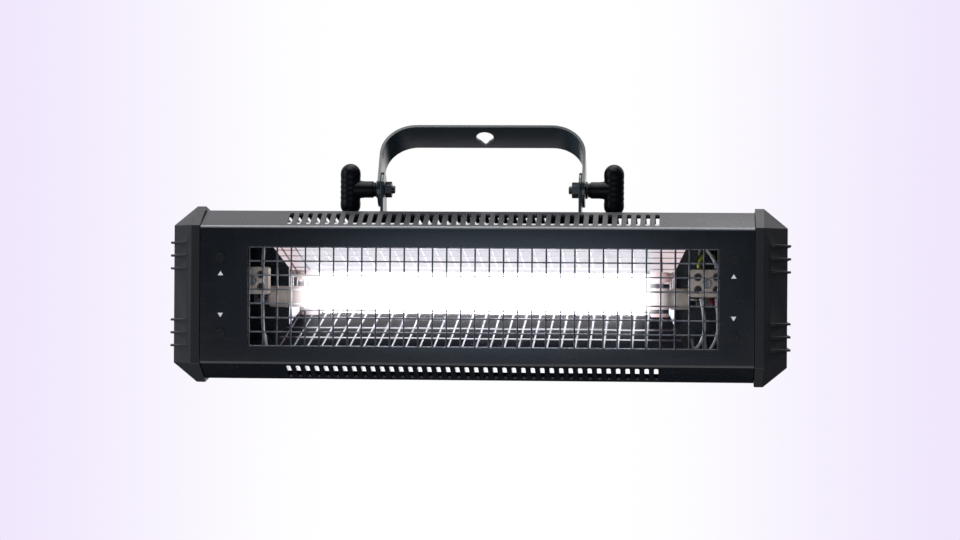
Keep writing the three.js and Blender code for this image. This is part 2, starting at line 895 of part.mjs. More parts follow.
// Ceramic base: a collar next to the glass, a groove and the end that the clip holds by its pin
function rightLampBase() {
  const { baseRadius, neckRadius, collarLength, groove, pinRadius, pinLength, depth } = lamp;
  const start = lamp.halfLength + seatGap;
  const end = start + lamp.baseLength;
  const bevel = baseRadius - neckRadius;
  const profile = [
    [0, start],
    [neckRadius, start],
    [baseRadius, start + bevel],
    [baseRadius, start + collarLength],
    [neckRadius, start + collarLength],
    [neckRadius, start + collarLength + groove],
    [baseRadius, start + collarLength + groove],
    [baseRadius, end - bevel],
    [neckRadius, end],
    [pinRadius, end],
    [pinRadius, end + pinLength],
    [0, end + pinLength],
  ];
  return turned(profile, facets.round, 'x').translate(0, depth, axisZ);
}

// Spring clip: a post from the plate, forked round the pin of the lamp
function rightClip() {
  const x = lamp.halfLength + lamp.baseLength + seatGap + clip.fromBase;
  const back = plate.depth - seatGap;
  const front = lamp.depth - clip.forkDepth;
  const post = barX(rectangle(front, back, axisZ - clip.half, axisZ + clip.half), x - clip.sheet, x);
  const foot = barY(
    rectangle(x - clip.sheet, x - clip.sheet + clip.foot, axisZ - clip.half, axisZ + clip.half),
    back - clip.sheet, back,
  );
  const bentPost = joined([post, foot]);
  const grip = lamp.pinRadius + seatGap;
  const seat = rod(grip, x - overrun, x + overrun, facets.bore, 'x').translate(0, lamp.depth, axisZ);
  const mouth = barX(rectangle(front - overrun, lamp.depth, axisZ - grip, axisZ + grip), x - overrun, x + overrun);
  return cutFrom(bentPost, [seat, mouth]);
}

// Terminal blocks

function polePlaces(x) {
  const places = [];
  for (const a of [-1, 1]) {
    for (const b of [-1, 1]) {
      places.push([x + a * block.poleX, block.centreZ + b * block.poleZ]);
    }
  }
  return places;
}

function terminalBlock(x) {
  const { width, height, depth, frontDepth, corner, centreZ } = block;
  const brick = barY(shifted(clippedRectangle(width, height, corner), x, centreZ), frontDepth, frontDepth + depth);
  const sinks = polePlaces(x).map(([a, b]) => (
    barY(circle(a, b, block.poleRadius, facets.bore), frontDepth - overrun, frontDepth + block.poleSink)
  ));
  sinks.push(barY(
    circle(x, centreZ, block.screwRadius, facets.bore), frontDepth - overrun, frontDepth + block.screwSink,
  ));
  const sunk = cutFrom(brick, [together(sinks)]);
  const head = block.screwRadius - seatGap;
  const floor = frontDepth + block.screwSink;
  const screw = rod(head, floor - head / 2, floor + screwWeld, facets.screw, 'y').translate(x, 0, centreZ);
  return joined([sunk, screw]);
}

// Leads: round wire through points chosen by hand, from the terminal block to the plate

function wireAlong(points) {
  const curve = new THREE.CatmullRomCurve3(points.map((point) => new THREE.Vector3(...point)), false, 'centripetal');
  const section = new THREE.Shape(circle(0, 0, lead.radius, lead.sides).map(([a, b]) => new THREE.Vector2(a, b)));
  return new THREE.ExtrudeGeometry(section, {
    steps: (points.length - 1) * lead.stepsPerPoint,
    extrudePath: curve,
    bevelEnabled: false,
    curveSegments: 1,
  });
}

const blockTop = block.centreZ + block.height / 2 + lead.endGap;
const blockBottom = block.centreZ - block.height / 2 - lead.endGap;
const leadEnd = plate.depth - lead.endGap;

const leadDepth = block.frontDepth + block.depth / 2;

const leadRoutes = {
  lead_left_lower: [
    [-153.4, leadDepth, blockBottom], [-153.2, 18, -9], [-152.9, 20, -24], [-151.9, 27, -36], [-154, 44, -39],
    [-158, leadEnd, -30],
  ],
  lead_left_upper: [[-153.2, leadDepth, blockTop], [-152.8, 18, 28], [-153.4, 24, 36], [-156, 42, 38], [-160, leadEnd, 30]],
  brown_lead: [[-163.9, leadDepth, blockBottom], [-164.4, 18, -8], [-165.6, 25, -16], [-169, 42, -22], [-171, leadEnd, -20]],
  lead_right_outer: [
    [168.4, leadDepth, blockBottom], [169.6, 18, -12], [169.4, 21, -26], [165, 28, -36], [162, 44, -37],
    [161, leadEnd, -28],
  ],
  lead_right_inner: [
    [157.6, leadDepth, blockBottom], [159.6, 18, -11], [160.2, 20, -23], [157.2, 27, -33], [153.4, 44, -36],
    [152, leadEnd, -30],
  ],
  lead_right_upper: [[168.4, leadDepth, blockTop], [167.4, 18, 25], [162.4, 23, 33], [158, 40, 37], [156.5, leadEnd, 31]],
  red_lead: [[164, leadDepth, blockBottom], [166.8, 20, -4], [173, 27, -7.5], [176, 42, -13], [174, leadEnd, -15]],
  earth_lead: [[156.2, leadDepth, blockTop], [156, 18, 23.5], [160, 26, 30], [166, 42, 32], [168, leadEnd, 27]],
};

// Storage capacitors with their straps

function capacitorPlaces() {
  return caps.x.flatMap((x) => [[x, caps.z], [x, -caps.z]]);
}

function capacitorDepth() {
  return plate.depth + plate.sheet + seatGap + caps.radius;
}

function capacitor() {
  const { radius, length, lip } = caps;
  const half = length / 2;
  return turned([
    [0, -half],
    [radius, -half],
    [radius, half - lip],
    [radius - lip, half],
    [0, half],
  ], facets.round, 'x');
}

// One bent strap holds an upper and a lower can against the plate
function capacitorStrap() {
  const { z, radius, strapWidth, strapSheet, foot } = caps;
  const inner = radius + seatGap;
  const outer = inner + strapSheet;
  const face = plate.depth + plate.sheet + seatGap;
  const centre = capacitorDepth();
  const over = (size, middle) => Array.from({ length: facets.bend + 1 }, (_, step) => {
    const angle = (step / facets.bend) * Math.PI;
    return [centre + size * Math.sin(angle), middle - size * Math.cos(angle)];
  });
  const lane = (size, depth) => [
    [depth, -z - size], ...over(size, -z), [depth, -z + size], [depth, z - size], ...over(size, z), [depth, z + size],
  ];
  const end = z + outer + foot;
  const outline = [
    [face, -end], [face + strapSheet, -end], ...lane(outer, face + strapSheet), [face + strapSheet, end],
    [face, end], ...lane(inner, face).reverse(),
  ];
  const half = strapWidth / 2;
  return barX(outline, -half, half);
}

function triggerCoil() {
  const { radius, flangeRadius, length, flange } = coil;
  const start = plate.depth + plate.sheet + seatGap;
  const end = start + length;
  return turned([
    [0, start],
    [flangeRadius, start],
    [flangeRadius, start + flange],
    [radius, start + flange],
    [radius, end - flange],
    [flangeRadius, end - flange],
    [flangeRadius, end],
    [0, end],
  ], facets.round, 'y');
}

function dischargeResistor() {
  const { width, height, depth, corner, lug, lugSheet } = resistor;
  const face = plate.depth + plate.sheet + seatGap;
  const brick = barY(clippedRectangle(width, height, corner), face + lugSheet / 2, face + depth);
  const half = width / 2 + lug;
  const lugHalf = height / 3;
  return joined([brick, barY(rectangle(-half, half, -lugHalf, lugHalf), face, face + lugSheet)]);
}

// Control board and what it carries

function boardCorners() {
  const { width, height, postInset } = board;
  const a = width / 2 - postInset;
  const b = height / 2 - postInset;
  return [[-a, -b], [a, -b], [a, b], [-a, b]].map(([x, z]) => [x + panel.displayX, z]);
}

// Board with the digits of the display, two relays and four posts against the back panel
function controlBoard() {
  const { width, height, sheet, postRadius, relayWidth, relayHeight, relayDepth, relaySpread } = board;
  const { displayX, displayZ, displayWidth, displayHeight, displaySheet } = panel;
  const depth = boardBack - sheet;
  const middle = depth + sheet / 2;
  const laminate = barY(shifted(clippedRectangle(width, height, sheet), displayX, 0), depth, boardBack);
  const digits = barY(
    shifted(clippedRectangle(displayWidth - sheet, displayHeight - sheet, sheet), displayX, displayZ),
    middle, panelFace - displaySheet - seatGap,
  );
  const relays = [-1, 1].map((side) => barY(
    shifted(clippedRectangle(relayWidth, relayHeight, sheet), displayX + side * relaySpread, 0),
    depth - relayDepth, middle,
  ));
  const posts = boardCorners().map(([x, z]) => rod(postRadius, middle, panelFace, facets.screw, 'y').translate(x, 0, z));
  return joined([laminate, digits, ...relays, ...posts]);
}

function displayWindow() {
  const { displayX, displayZ, displayWidth, displayHeight, displayLap, displaySheet } = panel;
  const a = displayWidth / 2 + displayLap;
  const b = displayHeight / 2 + displayLap;
  return barY(
    rectangle(displayX - a, displayX + a, displayZ - b, displayZ + b), panelFace - displaySheet, panelFace,
  );
}

function buttonPlaces() {
  return [-1.5, -0.5, 0.5, 1.5].map((step) => panel.displayX + step * panel.buttonPitch);
}

function button() {
  const { buttonRadius, buttonGap, buttonCrown, buttonFlange, buttonFlangeSheet } = panel;
  const start = boardBack + buttonGap;
  const end = body.depth + panel.buttonProud;
  return turned([
    [0, start],
    [buttonFlange, start],
    [buttonFlange, start + buttonFlangeSheet],
    [buttonRadius, start + buttonFlangeSheet],
    [buttonRadius, end - buttonCrown],
    [buttonRadius - buttonCrown, end],
    [0, end],
  ], facets.bore, 'y');
}

// Fan

function fanScrewPlaces() {
  return [[-1, -1], [1, -1], [1, 1], [-1, 1]].map(([a, b]) => [a * fanScrewSpread, b * fanScrewSpread]);
}

function fanFrame() {
  const back = panelFace;
  const front = back - fan.depth;
  const bore = circle(0, 0, fanBore, facets.ring);
  const duct = barY(clippedRectangle(fan.size, fan.size, fan.corner), front, back, [bore]);
  const cup = rod(fan.cupRadius, front, front + fan.cupDepth, facets.round, 'y');
  const half = fan.strutWidth / 2;
  const reach = fanBore + fan.strutRoot;
  const strutDepth = front + fan.cupDepth / 2;
  const strut = barY(rectangle(-reach, reach, -half, half), front, strutDepth);
  const crossing = barY(rectangle(-half, half, -reach, reach), front, strutDepth);
  return joined([duct, cup, strut, crossing]);
}

// Twisted blades on a hub; a blade's chord turns from its root angle to its tip angle
function fanRotor() {
  const start = panelFace - fan.depth + fan.cupDepth + seatGap;
  const end = start + fan.rotorDepth;
  const hub = rod(fan.hubRadius, start, end, facets.round, 'y');
  const middle = (start + end) / 2;
  const root = fan.hubRadius - fan.bladeThickness;
  const length = fanBore - fan.tipGap - root;
  const blades = Array.from({ length: fan.blades }, (_, index) => {
    const blade = new THREE.BoxGeometry(length, fan.bladeChord, fan.bladeThickness, 2, 1, 1);
    const place = blade.attributes.position;
    for (let corner = 0; corner < place.count; corner += 1) {
      const along = place.getX(corner) / length + 1 / 2;
      const angle = THREE.MathUtils.degToRad(fan.rootAngle + (fan.tipAngle - fan.rootAngle) * along);
      const y = place.getY(corner);
      const z = place.getZ(corner);
      place.setXYZ(
        corner,
        root + along * length,
        y * Math.cos(angle) - z * Math.sin(angle),
        y * Math.sin(angle) + z * Math.cos(angle),
      );
    }
    return blade.rotateY((index / fan.blades) * 2 * Math.PI).translate(0, middle, 0);
  });
  return joined([hub, ...blades]);
}

function fanGuard() {
  const front = body.depth + seatGap;
  const { guardWire, guardInset, guardRings, eyeRadius } = fan;
  const rings = Array.from({ length: guardRings }, (_, index) => {
    const radius = ((fanBore - guardInset) * (index + 1)) / guardRings;
    return tube(radius + guardWire / 2, radius - guardWire / 2, front, front + guardWire, facets.ring, 'y');
  });
  const reach = fanScrewSpread * Math.SQRT2;
  const half = guardWire / 2;
  const spokes = [1, -1].map((side) => (
    barY(rectangle(-reach, reach, -half, half), front, front + guardWire).rotateY((side * Math.PI) / 4)
  ));
  const eyes = fanScrewPlaces().map(([x, z]) => (
    rod(eyeRadius, front, front + guardWire, facets.bore, 'y').translate(x, 0, z)
  ));
  const screws = fanScrewPlaces().map(([x, z]) => backHead(fanScrew, x, z, front + guardWire));
  return joined([...rings, ...spokes, ...eyes, ...screws]);
}

// Connectors on the back

function powerInlet() {
  const face = body.depth + seatGap;
  const outer = face + inlet.flange;
  const flange = barY(clippedRectangle(inlet.flangeWidth, inlet.flangeHeight, inlet.mouthCorner), face, outer);
  const housing = barY(clippedRectangle(inlet.bodyWidth, inlet.bodyHeight, inlet.mouthCorner), outer - inlet.bodyDepth, outer);
  const whole = joined([flange, housing]);
  const floor = outer - inlet.mouthDepth;
  const mouth = barY(clippedRectangle(inlet.mouthWidth, inlet.mouthHeight, inlet.mouthCorner), floor, outer + overrun);
  const open = cutFrom(whole, [mouth]);
  const places = [[-inlet.pinSpread, -inlet.pinRise], [0, inlet.pinRise], [inlet.pinSpread, -inlet.pinRise]];
  const pins = places.map(([x, z]) => barY(
    rectangle(x - inlet.pinThick / 2, x + inlet.pinThick / 2, z - inlet.pinWide / 2, z + inlet.pinWide / 2),
    floor - inlet.flange, floor + inlet.pinLong,
  ));
  const screws = [-1, 1].map((side) => backHead(panelScrew, side * inlet.screwSpread, 0, outer));
  return joined([open, ...pins, ...screws]);
}

function fuseHolder() {
  const face = body.depth + seatGap;
  const flangeEnd = face + fuse.flange;
  const end = flangeEnd + fuse.capLength;
  const whole = turned([
    [0, face - fuse.bodyDepth],
    [fuse.bodyRadius, face - fuse.bodyDepth],
    [fuse.bodyRadius, face],
    [fuse.flangeRadius, face],
    [fuse.flangeRadius, flangeEnd],
    [fuse.capRadius, flangeEnd],
    [fuse.capRadius, end],
    [0, end],
  ], facets.round, 'y');
  const half = fuse.slot / 2;
  const slot = barY(rectangle(-fuse.capRadius * 2, fuse.capRadius * 2, -half, half), end - fuse.slotSink, end + overrun);
  return cutFrom(whole, [slot]);
}

function pinPlaces() {
  return [210, 330, 90].map((degrees) => {
    const angle = THREE.MathUtils.degToRad(degrees);
    return [dmx.pinCircle * Math.cos(angle), dmx.pinCircle * Math.sin(angle)];
  });
}

function connectorBlank() {
  const face = body.depth + seatGap;
  const outer = face + dmx.flange;
  const flange = barY(clippedRectangle(dmx.flangeWidth, dmx.flangeHeight, dmx.corner), face, outer);
  const barrel = rod(dmx.bodyRadius, outer - dmx.bodyDepth, outer, facets.round, 'y');
  const screws = [-1, 1].map((side) => backHead(panelScrew, side * dmx.screwX, side * dmx.screwZ, outer));
  return { whole: joined([flange, barrel, ...screws]), outer, floor: outer - dmx.mouthDepth };
}

// Male connector: a cup with three pins
function signalIn() {
  const { whole, outer, floor } = connectorBlank();
  const mouth = rod(dmx.mouthRadius, floor, outer + overrun, facets.round, 'y');
  const open = cutFrom(whole, [mouth]);
  const pins = pinPlaces().map(([x, z]) => (
    rod(dmx.pinRadius, floor - dmx.flange, floor + dmx.pinLength, facets.screw, 'y').translate(x, 0, z)
  ));
  return joined([open, ...pins]);
}

// Female connector: a core with three sockets inside a round groove
function signalOut() {
  const { whole, outer, floor } = connectorBlank();
  const groove = tube(dmx.mouthRadius, dmx.coreRadius, floor, outer + overrun, facets.round, 'y');
  const sockets = pinPlaces().map(([x, z]) => (
    rod(dmx.pinRadius + seatGap, floor, outer + overrun, facets.screw, 'y').translate(x, 0, z)
  ));
  return cutFrom(whole, [groove, together(sockets)]);
}

// Ears: a round-topped plate bent from a foot that lies on the roof

const armInner = yoke.halfWidth - yoke.sheet;
const earOuter = armInner - seatGap;
const earInner = earOuter - ear.sheet;

function roofAt(depth) {
  return caseHalfAt(depth) + seatGap;
}

function rightEar() {
  const { topRadius, sheet, foot } = ear;
  const front = pivot.depth - topRadius;
  const back = pivot.depth + topRadius;
  const arch = Array.from({ length: facets.bend + 1 }, (_, step) => {
    const angle = (step / facets.bend) * Math.PI;
    return [pivot.depth + topRadius * Math.cos(angle), pivotZ + topRadius * Math.sin(angle)];
  });
  const standing = barX([[front, roofAt(front)], [back, roofAt(back)], ...arch], earInner, earOuter);
  const lying = barX(
    [[front, roofAt(front)], [back, roofAt(back)], [back, roofAt(back) + sheet], [front, roofAt(front) + sheet]],
    earInner - foot, earOuter,
  );
  const bore = rod(clearance(stud.radius, facets.bore), earInner - overrun, earOuter + overrun, facets.bore, 'x')
    .translate(0, pivot.depth, pivotZ);
  const bracket = cutFrom(joined([standing, lying]), [bore]);
  const rivets = [-1, 1].map((side) => {
    const depth = pivot.depth + side * rivet.spread;
    return turned([
      [0, -screwWeld],
      [rivet.radius, -screwWeld],
      [rivet.radius, rivet.head / 2],
      [rivet.crownRadius, rivet.head],
      [0, rivet.head],
    ], facets.screw, 'z').rotateX(-roofAngle).translate(earInner - rivet.inset, depth, roofAt(depth) + sheet);
  });
  return joined([bracket, ...rivets]);
}

// Yoke: a flat strap bent to a U, with round ends at the pivot, drawn upright about the pivot

function yokeStrap() {
  const { reach, halfWidth, strap, sheet, bend, holeRadius, notchReach, notchRootHalf, notchTipHalf } = yoke;
  const end = strap / 2;
  const path = [[halfWidth, -end], [halfWidth, reach], [-halfWidth, reach], [-halfWidth, -end]];
  const outer = roundedPath(path, bend, facets.bend);
  const inner = roundedPath(offsetPath(path, sheet), bend - sheet, facets.bend);
  const strapSolid = barY(outer.concat(inner.reverse()), -end, end);
  const rounded = Array.from({ length: facets.bend + 1 }, (_, step) => {
    const angle = Math.PI + (step / facets.bend) * Math.PI;
    return [end * Math.cos(angle), end * Math.sin(angle)];
  });
  const silhouette = barX(
    [...rounded, [end, reach + overrun], [-end, reach + overrun]], -halfWidth - overrun, halfWidth + overrun,
  );
  const bar = common(strapSolid, silhouette);
  const hole = rod(holeRadius, reach - sheet - overrun, reach + overrun, facets.ring, 'z');
  const notch = barZ([
    [-notchRootHalf, 0], [notchRootHalf, 0], [notchRootHalf, Math.sqrt(holeRadius ** 2 - notchRootHalf ** 2)],
    [notchTipHalf, notchReach], [-notchTipHalf, notchReach],
    [-notchRootHalf, Math.sqrt(holeRadius ** 2 - notchRootHalf ** 2)],
  ], reach - sheet - overrun, reach + overrun);
  const studHole = clearance(stud.radius, facets.bore);
  const bolts = rod(studHole, -halfWidth - overrun, halfWidth + overrun, facets.bore, 'x');
  return cutFrom(bar, [hole, notch, bolts]);
}

// Clamp knobs: a T-shaped grip moulded on a stud that runs through the arm and the ear into a nut

const washerStart = yoke.halfWidth + seatGap;
const knobStart = washerStart + washer.thickness + seatGap;

function rightKnob() {
  const { barX: centre, halfLength, barRadius, stemRadius, ferruleRadius, ferruleLength } = knob;
  const crown = halfLength - barRadius;
  const dome = [0, 1, 2].map((step) => {
    const angle = (step / 2) * (Math.PI / 2);
    return [barRadius * Math.sin(angle), crown + barRadius * Math.cos(angle)];
  });
  const profile = [
    ...dome.map(([radius, place]) => [radius, -place]),
    ...dome.reverse(),
  ];
  const bar = turned(profile, facets.knob, 'z').translate(centre, 0, 0);
  const stem = turned([
    [0, stud.start],
    [stud.radius - stud.chamfer, stud.start],
    [stud.radius, stud.start + stud.chamfer],
    [stud.radius, knobStart],
    [ferruleRadius, knobStart],
    [ferruleRadius, knobStart + ferruleLength],
    [stemRadius, knobStart + ferruleLength],
    [stemRadius, centre],
    [0, centre],
  ], facets.knob, 'x');
  return joined([bar, stem]);
}

function rightWasher() {
  const bore = clearance(stud.radius, facets.round);
  return tube(washer.radius, bore, washerStart, washerStart + washer.thickness, facets.round, 'x');
}

// The nut stands with a corner up
function rightNut() {
  const corner = nut.acrossFlats / 2 / Math.cos(Math.PI / nut.sides);
  const start = earInner - seatGap - nut.height;
  const bore = circle(0, 0, clearance(stud.radius, facets.bore), facets.bore);
  return barX(circle(0, 0, corner, nut.sides), start, start + nut.height, [bore]).rotateX(Math.PI / nut.sides);
}

// Assembly: groups stand where the real sub-assemblies do

const lean = THREE.MathUtils.degToRad(yoke.lean);
const strobe = new THREE.Group();
const housing = new THREE.Group();
const backPanel = new THREE.Group();
const fanUnit = new THREE.Group();
const pivotLine = new THREE.Group();
const yokeUnit = new THREE.Group();

strobe.add(housing, pivotLine);
housing.add(backPanel);
backPanel.add(fanUnit);
pivotLine.add(yokeUnit);
fanUnit.position.x = fan.x;
pivotLine.position.set(0, pivot.depth, pivotZ);
yokeUnit.rotation.x = -lean;

function add(parent, name, geometry, finish, x = 0, y = 0, z = 0) {
  const loose = geometry.index ? geometry.toNonIndexed() : geometry;
  loose.computeVertexNormals();
  const [color, roughness, metalness] = finishes[finish];
  const mesh = new THREE.Mesh(loose, new THREE.MeshStandardMaterial({ color, roughness, metalness, flatShading: true }));
  mesh.name = name;
  mesh.position.set(x, y, z);
  parent.add(mesh);
}

// A piece and its mirror image on the left
function addPair(parent, name, geometry, finish) {
  add(parent, `${name}_left`, mirrored(geometry), finish);
  add(parent, `${name}_right`, geometry, finish);
}

// Case
add(housing, 'front_cover', frontCover(), 'blackPaint');
add(housing, 'grille', wireMesh(), 'wire');
add(housing, 'rear_shell', rearShell(), 'blackPaint');
addPair(housing, 'end_cap', rightCap(), 'moulded');
addPair(housing, 'end_frame', rightFrame(), 'blackPaint');
add(housing, 'chassis_plate', chassisPlate(), 'blackPaint');
const coverScrewNames = [
  'cover_screw_upper_left', 'cover_screw_lower_left', 'cover_screw_upper_right', 'cover_screw_lower_right',
];
coverScrewPlaces().forEach(([x, z], index) => {
  add(housing, coverScrewNames[index], screwY(coverScrew), 'blackSteel', x, -seatGap, z);
});

// Lamp house
add(housing, 'reflector', reflectorSheet(), 'polished');
add(housing, 'reflector_cheek_left', cheek(-1), 'polished');
add(housing, 'reflector_cheek_right', cheek(1), 'polished');
add(housing, 'lamp_tube', lampTube(), 'glass');
addPair(housing, 'lamp_base', rightLampBase(), 'ceramic');
addPair(housing, 'lamp_clip', rightClip(), 'zinc');
add(housing, 'terminal_block_left', terminalBlock(block.left), 'ceramic');
add(housing, 'terminal_block_right', terminalBlock(block.right), 'ceramic');
const leadFinishes = { brown_lead: 'brownLead', red_lead: 'redLead', earth_lead: 'earthLead' };
for (const [name, route] of Object.entries(leadRoutes)) {
  add(housing, name, wireAlong(route), leadFinishes[name] ?? 'whiteLead');
}

// Electrics
const canNames = ['capacitor_upper_left', 'capacitor_lower_left', 'capacitor_upper_right', 'capacitor_lower_right'];
capacitorPlaces().forEach(([x, z], index) => {
  add(housing, canNames[index], capacitor(), 'capacitor', x, capacitorDepth(), z);
});
add(housing, 'capacitor_strap_left', capacitorStrap(), 'zinc', caps.x[0]);
add(housing, 'capacitor_strap_right', capacitorStrap(), 'zinc', caps.x[1]);
add(housing, 'trigger_coil', triggerCoil(), 'copper', coil.x, 0, coil.z);
add(housing, 'discharge_resistor', dischargeResistor(), 'ceramic', resistor.x, 0, resistor.z);

// Back panel
add(backPanel, 'control_board', controlBoard(), 'board');
add(backPanel, 'display_window', displayWindow(), 'display');
['menu', 'down', 'up', 'enter'].forEach((name, index) => {
  add(backPanel, `button_${name}`, button(), 'plastic', buttonPlaces()[index], 0, panel.buttonZ);
});
add(backPanel, 'power_inlet', powerInlet(), 'plastic', inlet.x);
add(backPanel, 'fuse_holder', fuseHolder(), 'plastic', fuse.x);
add(backPanel, 'signal_in', signalIn(), 'zinc', dmx.inX);
add(backPanel, 'signal_out', signalOut(), 'zinc', dmx.outX);
add(fanUnit, 'fan_frame', fanFrame(), 'plastic');
add(fanUnit, 'fan_rotor', fanRotor(), 'plastic');
add(fanUnit, 'fan_guard', fanGuard(), 'wire');

// Yoke and what clamps it
addPair(housing, 'ear', rightEar(), 'blackPaint');
add(yokeUnit, 'yoke', yokeStrap(), 'blackPaint');
addPair(pivotLine, 'knob', rightKnob(), 'plastic');
addPair(pivotLine, 'washer', rightWasher(), 'blackSteel');
addPair(pivotLine, 'nut', rightNut(), 'blackSteel');

// The origin is the centre of the clamp hole on the outer face of the strap
strobe.position.set(0, -pivot.depth - yoke.reach * Math.sin(lean), -pivotZ - yoke.reach * Math.cos(lean));

export default strobe;
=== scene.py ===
"""Strobe light for stages: finishes, fine pieces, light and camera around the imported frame.

Places are written in the case's own millimetres: X along the lamp, Y from the front face to the
back, Z up from the middle of the front face. place() takes them to the frame.
"""

from __future__ import annotations

import json
import logging
import math
from dataclasses import dataclass, field
from enum import Enum
from typing import Any, Callable, Iterable, Mapping, Sequence

import bmesh
import bpy
from mathutils import Matrix, Vector
from mathutils.geometry import tessellate_polygon

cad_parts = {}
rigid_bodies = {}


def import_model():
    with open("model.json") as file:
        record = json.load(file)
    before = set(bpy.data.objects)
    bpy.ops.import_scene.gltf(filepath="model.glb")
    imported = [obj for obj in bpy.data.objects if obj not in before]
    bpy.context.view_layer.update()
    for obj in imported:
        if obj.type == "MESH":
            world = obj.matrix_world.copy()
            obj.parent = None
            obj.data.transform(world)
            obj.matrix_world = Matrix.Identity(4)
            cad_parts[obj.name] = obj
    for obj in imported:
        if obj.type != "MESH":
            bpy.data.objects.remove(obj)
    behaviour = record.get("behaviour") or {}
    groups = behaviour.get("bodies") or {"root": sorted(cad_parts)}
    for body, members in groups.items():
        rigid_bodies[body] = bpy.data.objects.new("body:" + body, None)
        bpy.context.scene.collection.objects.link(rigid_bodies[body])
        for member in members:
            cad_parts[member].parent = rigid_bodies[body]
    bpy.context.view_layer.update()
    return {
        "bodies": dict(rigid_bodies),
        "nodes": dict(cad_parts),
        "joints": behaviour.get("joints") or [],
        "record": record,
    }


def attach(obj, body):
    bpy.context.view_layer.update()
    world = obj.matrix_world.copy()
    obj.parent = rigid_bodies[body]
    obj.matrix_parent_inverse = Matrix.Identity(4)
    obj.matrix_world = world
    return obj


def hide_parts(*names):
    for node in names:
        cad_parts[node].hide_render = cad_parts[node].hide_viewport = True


LOG = logging.getLogger("strobe")
MM = 0.001
CLAMP_HOLE = Vector((0.0, 81.512291, 117.194309))
MERGE_WITHIN = 2e-6
FLAT_ANGLE = 0.004
TUBE_Z = -1.2
GLARE_X = -3.6

Mesh = bpy.types.Mesh
Material = bpy.types.Material
Node = bpy.types.Node
Socket = bpy.types.NodeSocket
Tree = bpy.types.NodeTree
Pair = tuple[float, float]
Triple = tuple[float, float, float]
Quad = tuple[float, float, float, float]
Colour = Triple
Point = Sequence[float]
Outline = list[Pair]


class Axis(Enum):
    """The direction that an outline is extruded or turned along."""

    X = "x"
    Y = "y"
    Z = "z"


class Side(Enum):
    """Which end of the case a piece belongs to."""

    LEFT = -1
    RIGHT = 1

    @property
    def word(self) -> str:
        """The side's name as the frame's nodes carry it."""
        return self.name.lower()


def place(point: Point) -> Vector:
    """Takes a point from the case's millimetres to the frame's metres from the clamp hole."""
    return (Vector(point) - CLAMP_HOLE) * MM


def linked(name: str, data: Any) -> bpy.types.Object:
    """Makes an object of some data and puts it in the scene.

    Args:
        name: the object's name.
        data: its mesh, lamp or camera.

    Returns:
        The object.
    """
    made = bpy.data.objects.new(name, data)
    bpy.context.scene.collection.objects.link(made)
    return made


# Node graphs


class Graph:
    """A node tree under construction."""

    def __init__(self, tree: Tree) -> None:
        """Starts from an emptied tree."""
        self.tree = tree
        tree.nodes.clear()

    def node(
        self, kind: str, settings: Mapping[str, Any] | None = None,
        values: Mapping[str | int, Any] | None = None,
    ) -> Node:
        """Adds a node.

        Args:
            kind: the node's type name.
            settings: properties to set first.
            values: a value or a link for each input that isn't left at its default; see plug().

        Returns:
            The new node.
        """
        made = self.tree.nodes.new(kind)
        for name, value in (settings or {}).items():
            setattr(made, name, value)
        for name, value in (values or {}).items():
            self.plug(made.inputs[name], value)
        return made

    def plug(self, target: Socket, value: Any) -> None:
        """Links something to an input, or sets its value.

        Args:
            target: the input socket.
            value: a Wave, a socket, a node for its first output, or a plain value.
        """
        if isinstance(value, Node):
            value = value.outputs[0]
        if isinstance(value, Wave):
            value = value.socket
        if isinstance(value, Socket):
            self.tree.links.new(value, target)
        else:
            target.default_value = value

    def split(self, vector: Socket) -> tuple[Wave, Wave, Wave]:
        """The x, y and z of a vector."""
        x, y, z = self.node("ShaderNodeSeparateXYZ", values={0: vector}).outputs
        return Wave(self, x), Wave(self, y), Wave(self, z)

    def blend(self, share: Any, first: Any, second: Any) -> Socket:
        """Mixes two colours.

        Args:
            share: how much of the second.
            first: a colour or a socket.
            second: a colour or a socket.

        Returns:
            A colour socket.
        """
        made = self.node("ShaderNodeMix", {"data_type": "RGBA"}, {0: share})
        for index, colour in ((6, first), (7, second)):
            self.plug(made.inputs[index], (*colour, 1.0) if isinstance(colour, tuple) else colour)
        return made.outputs[2]


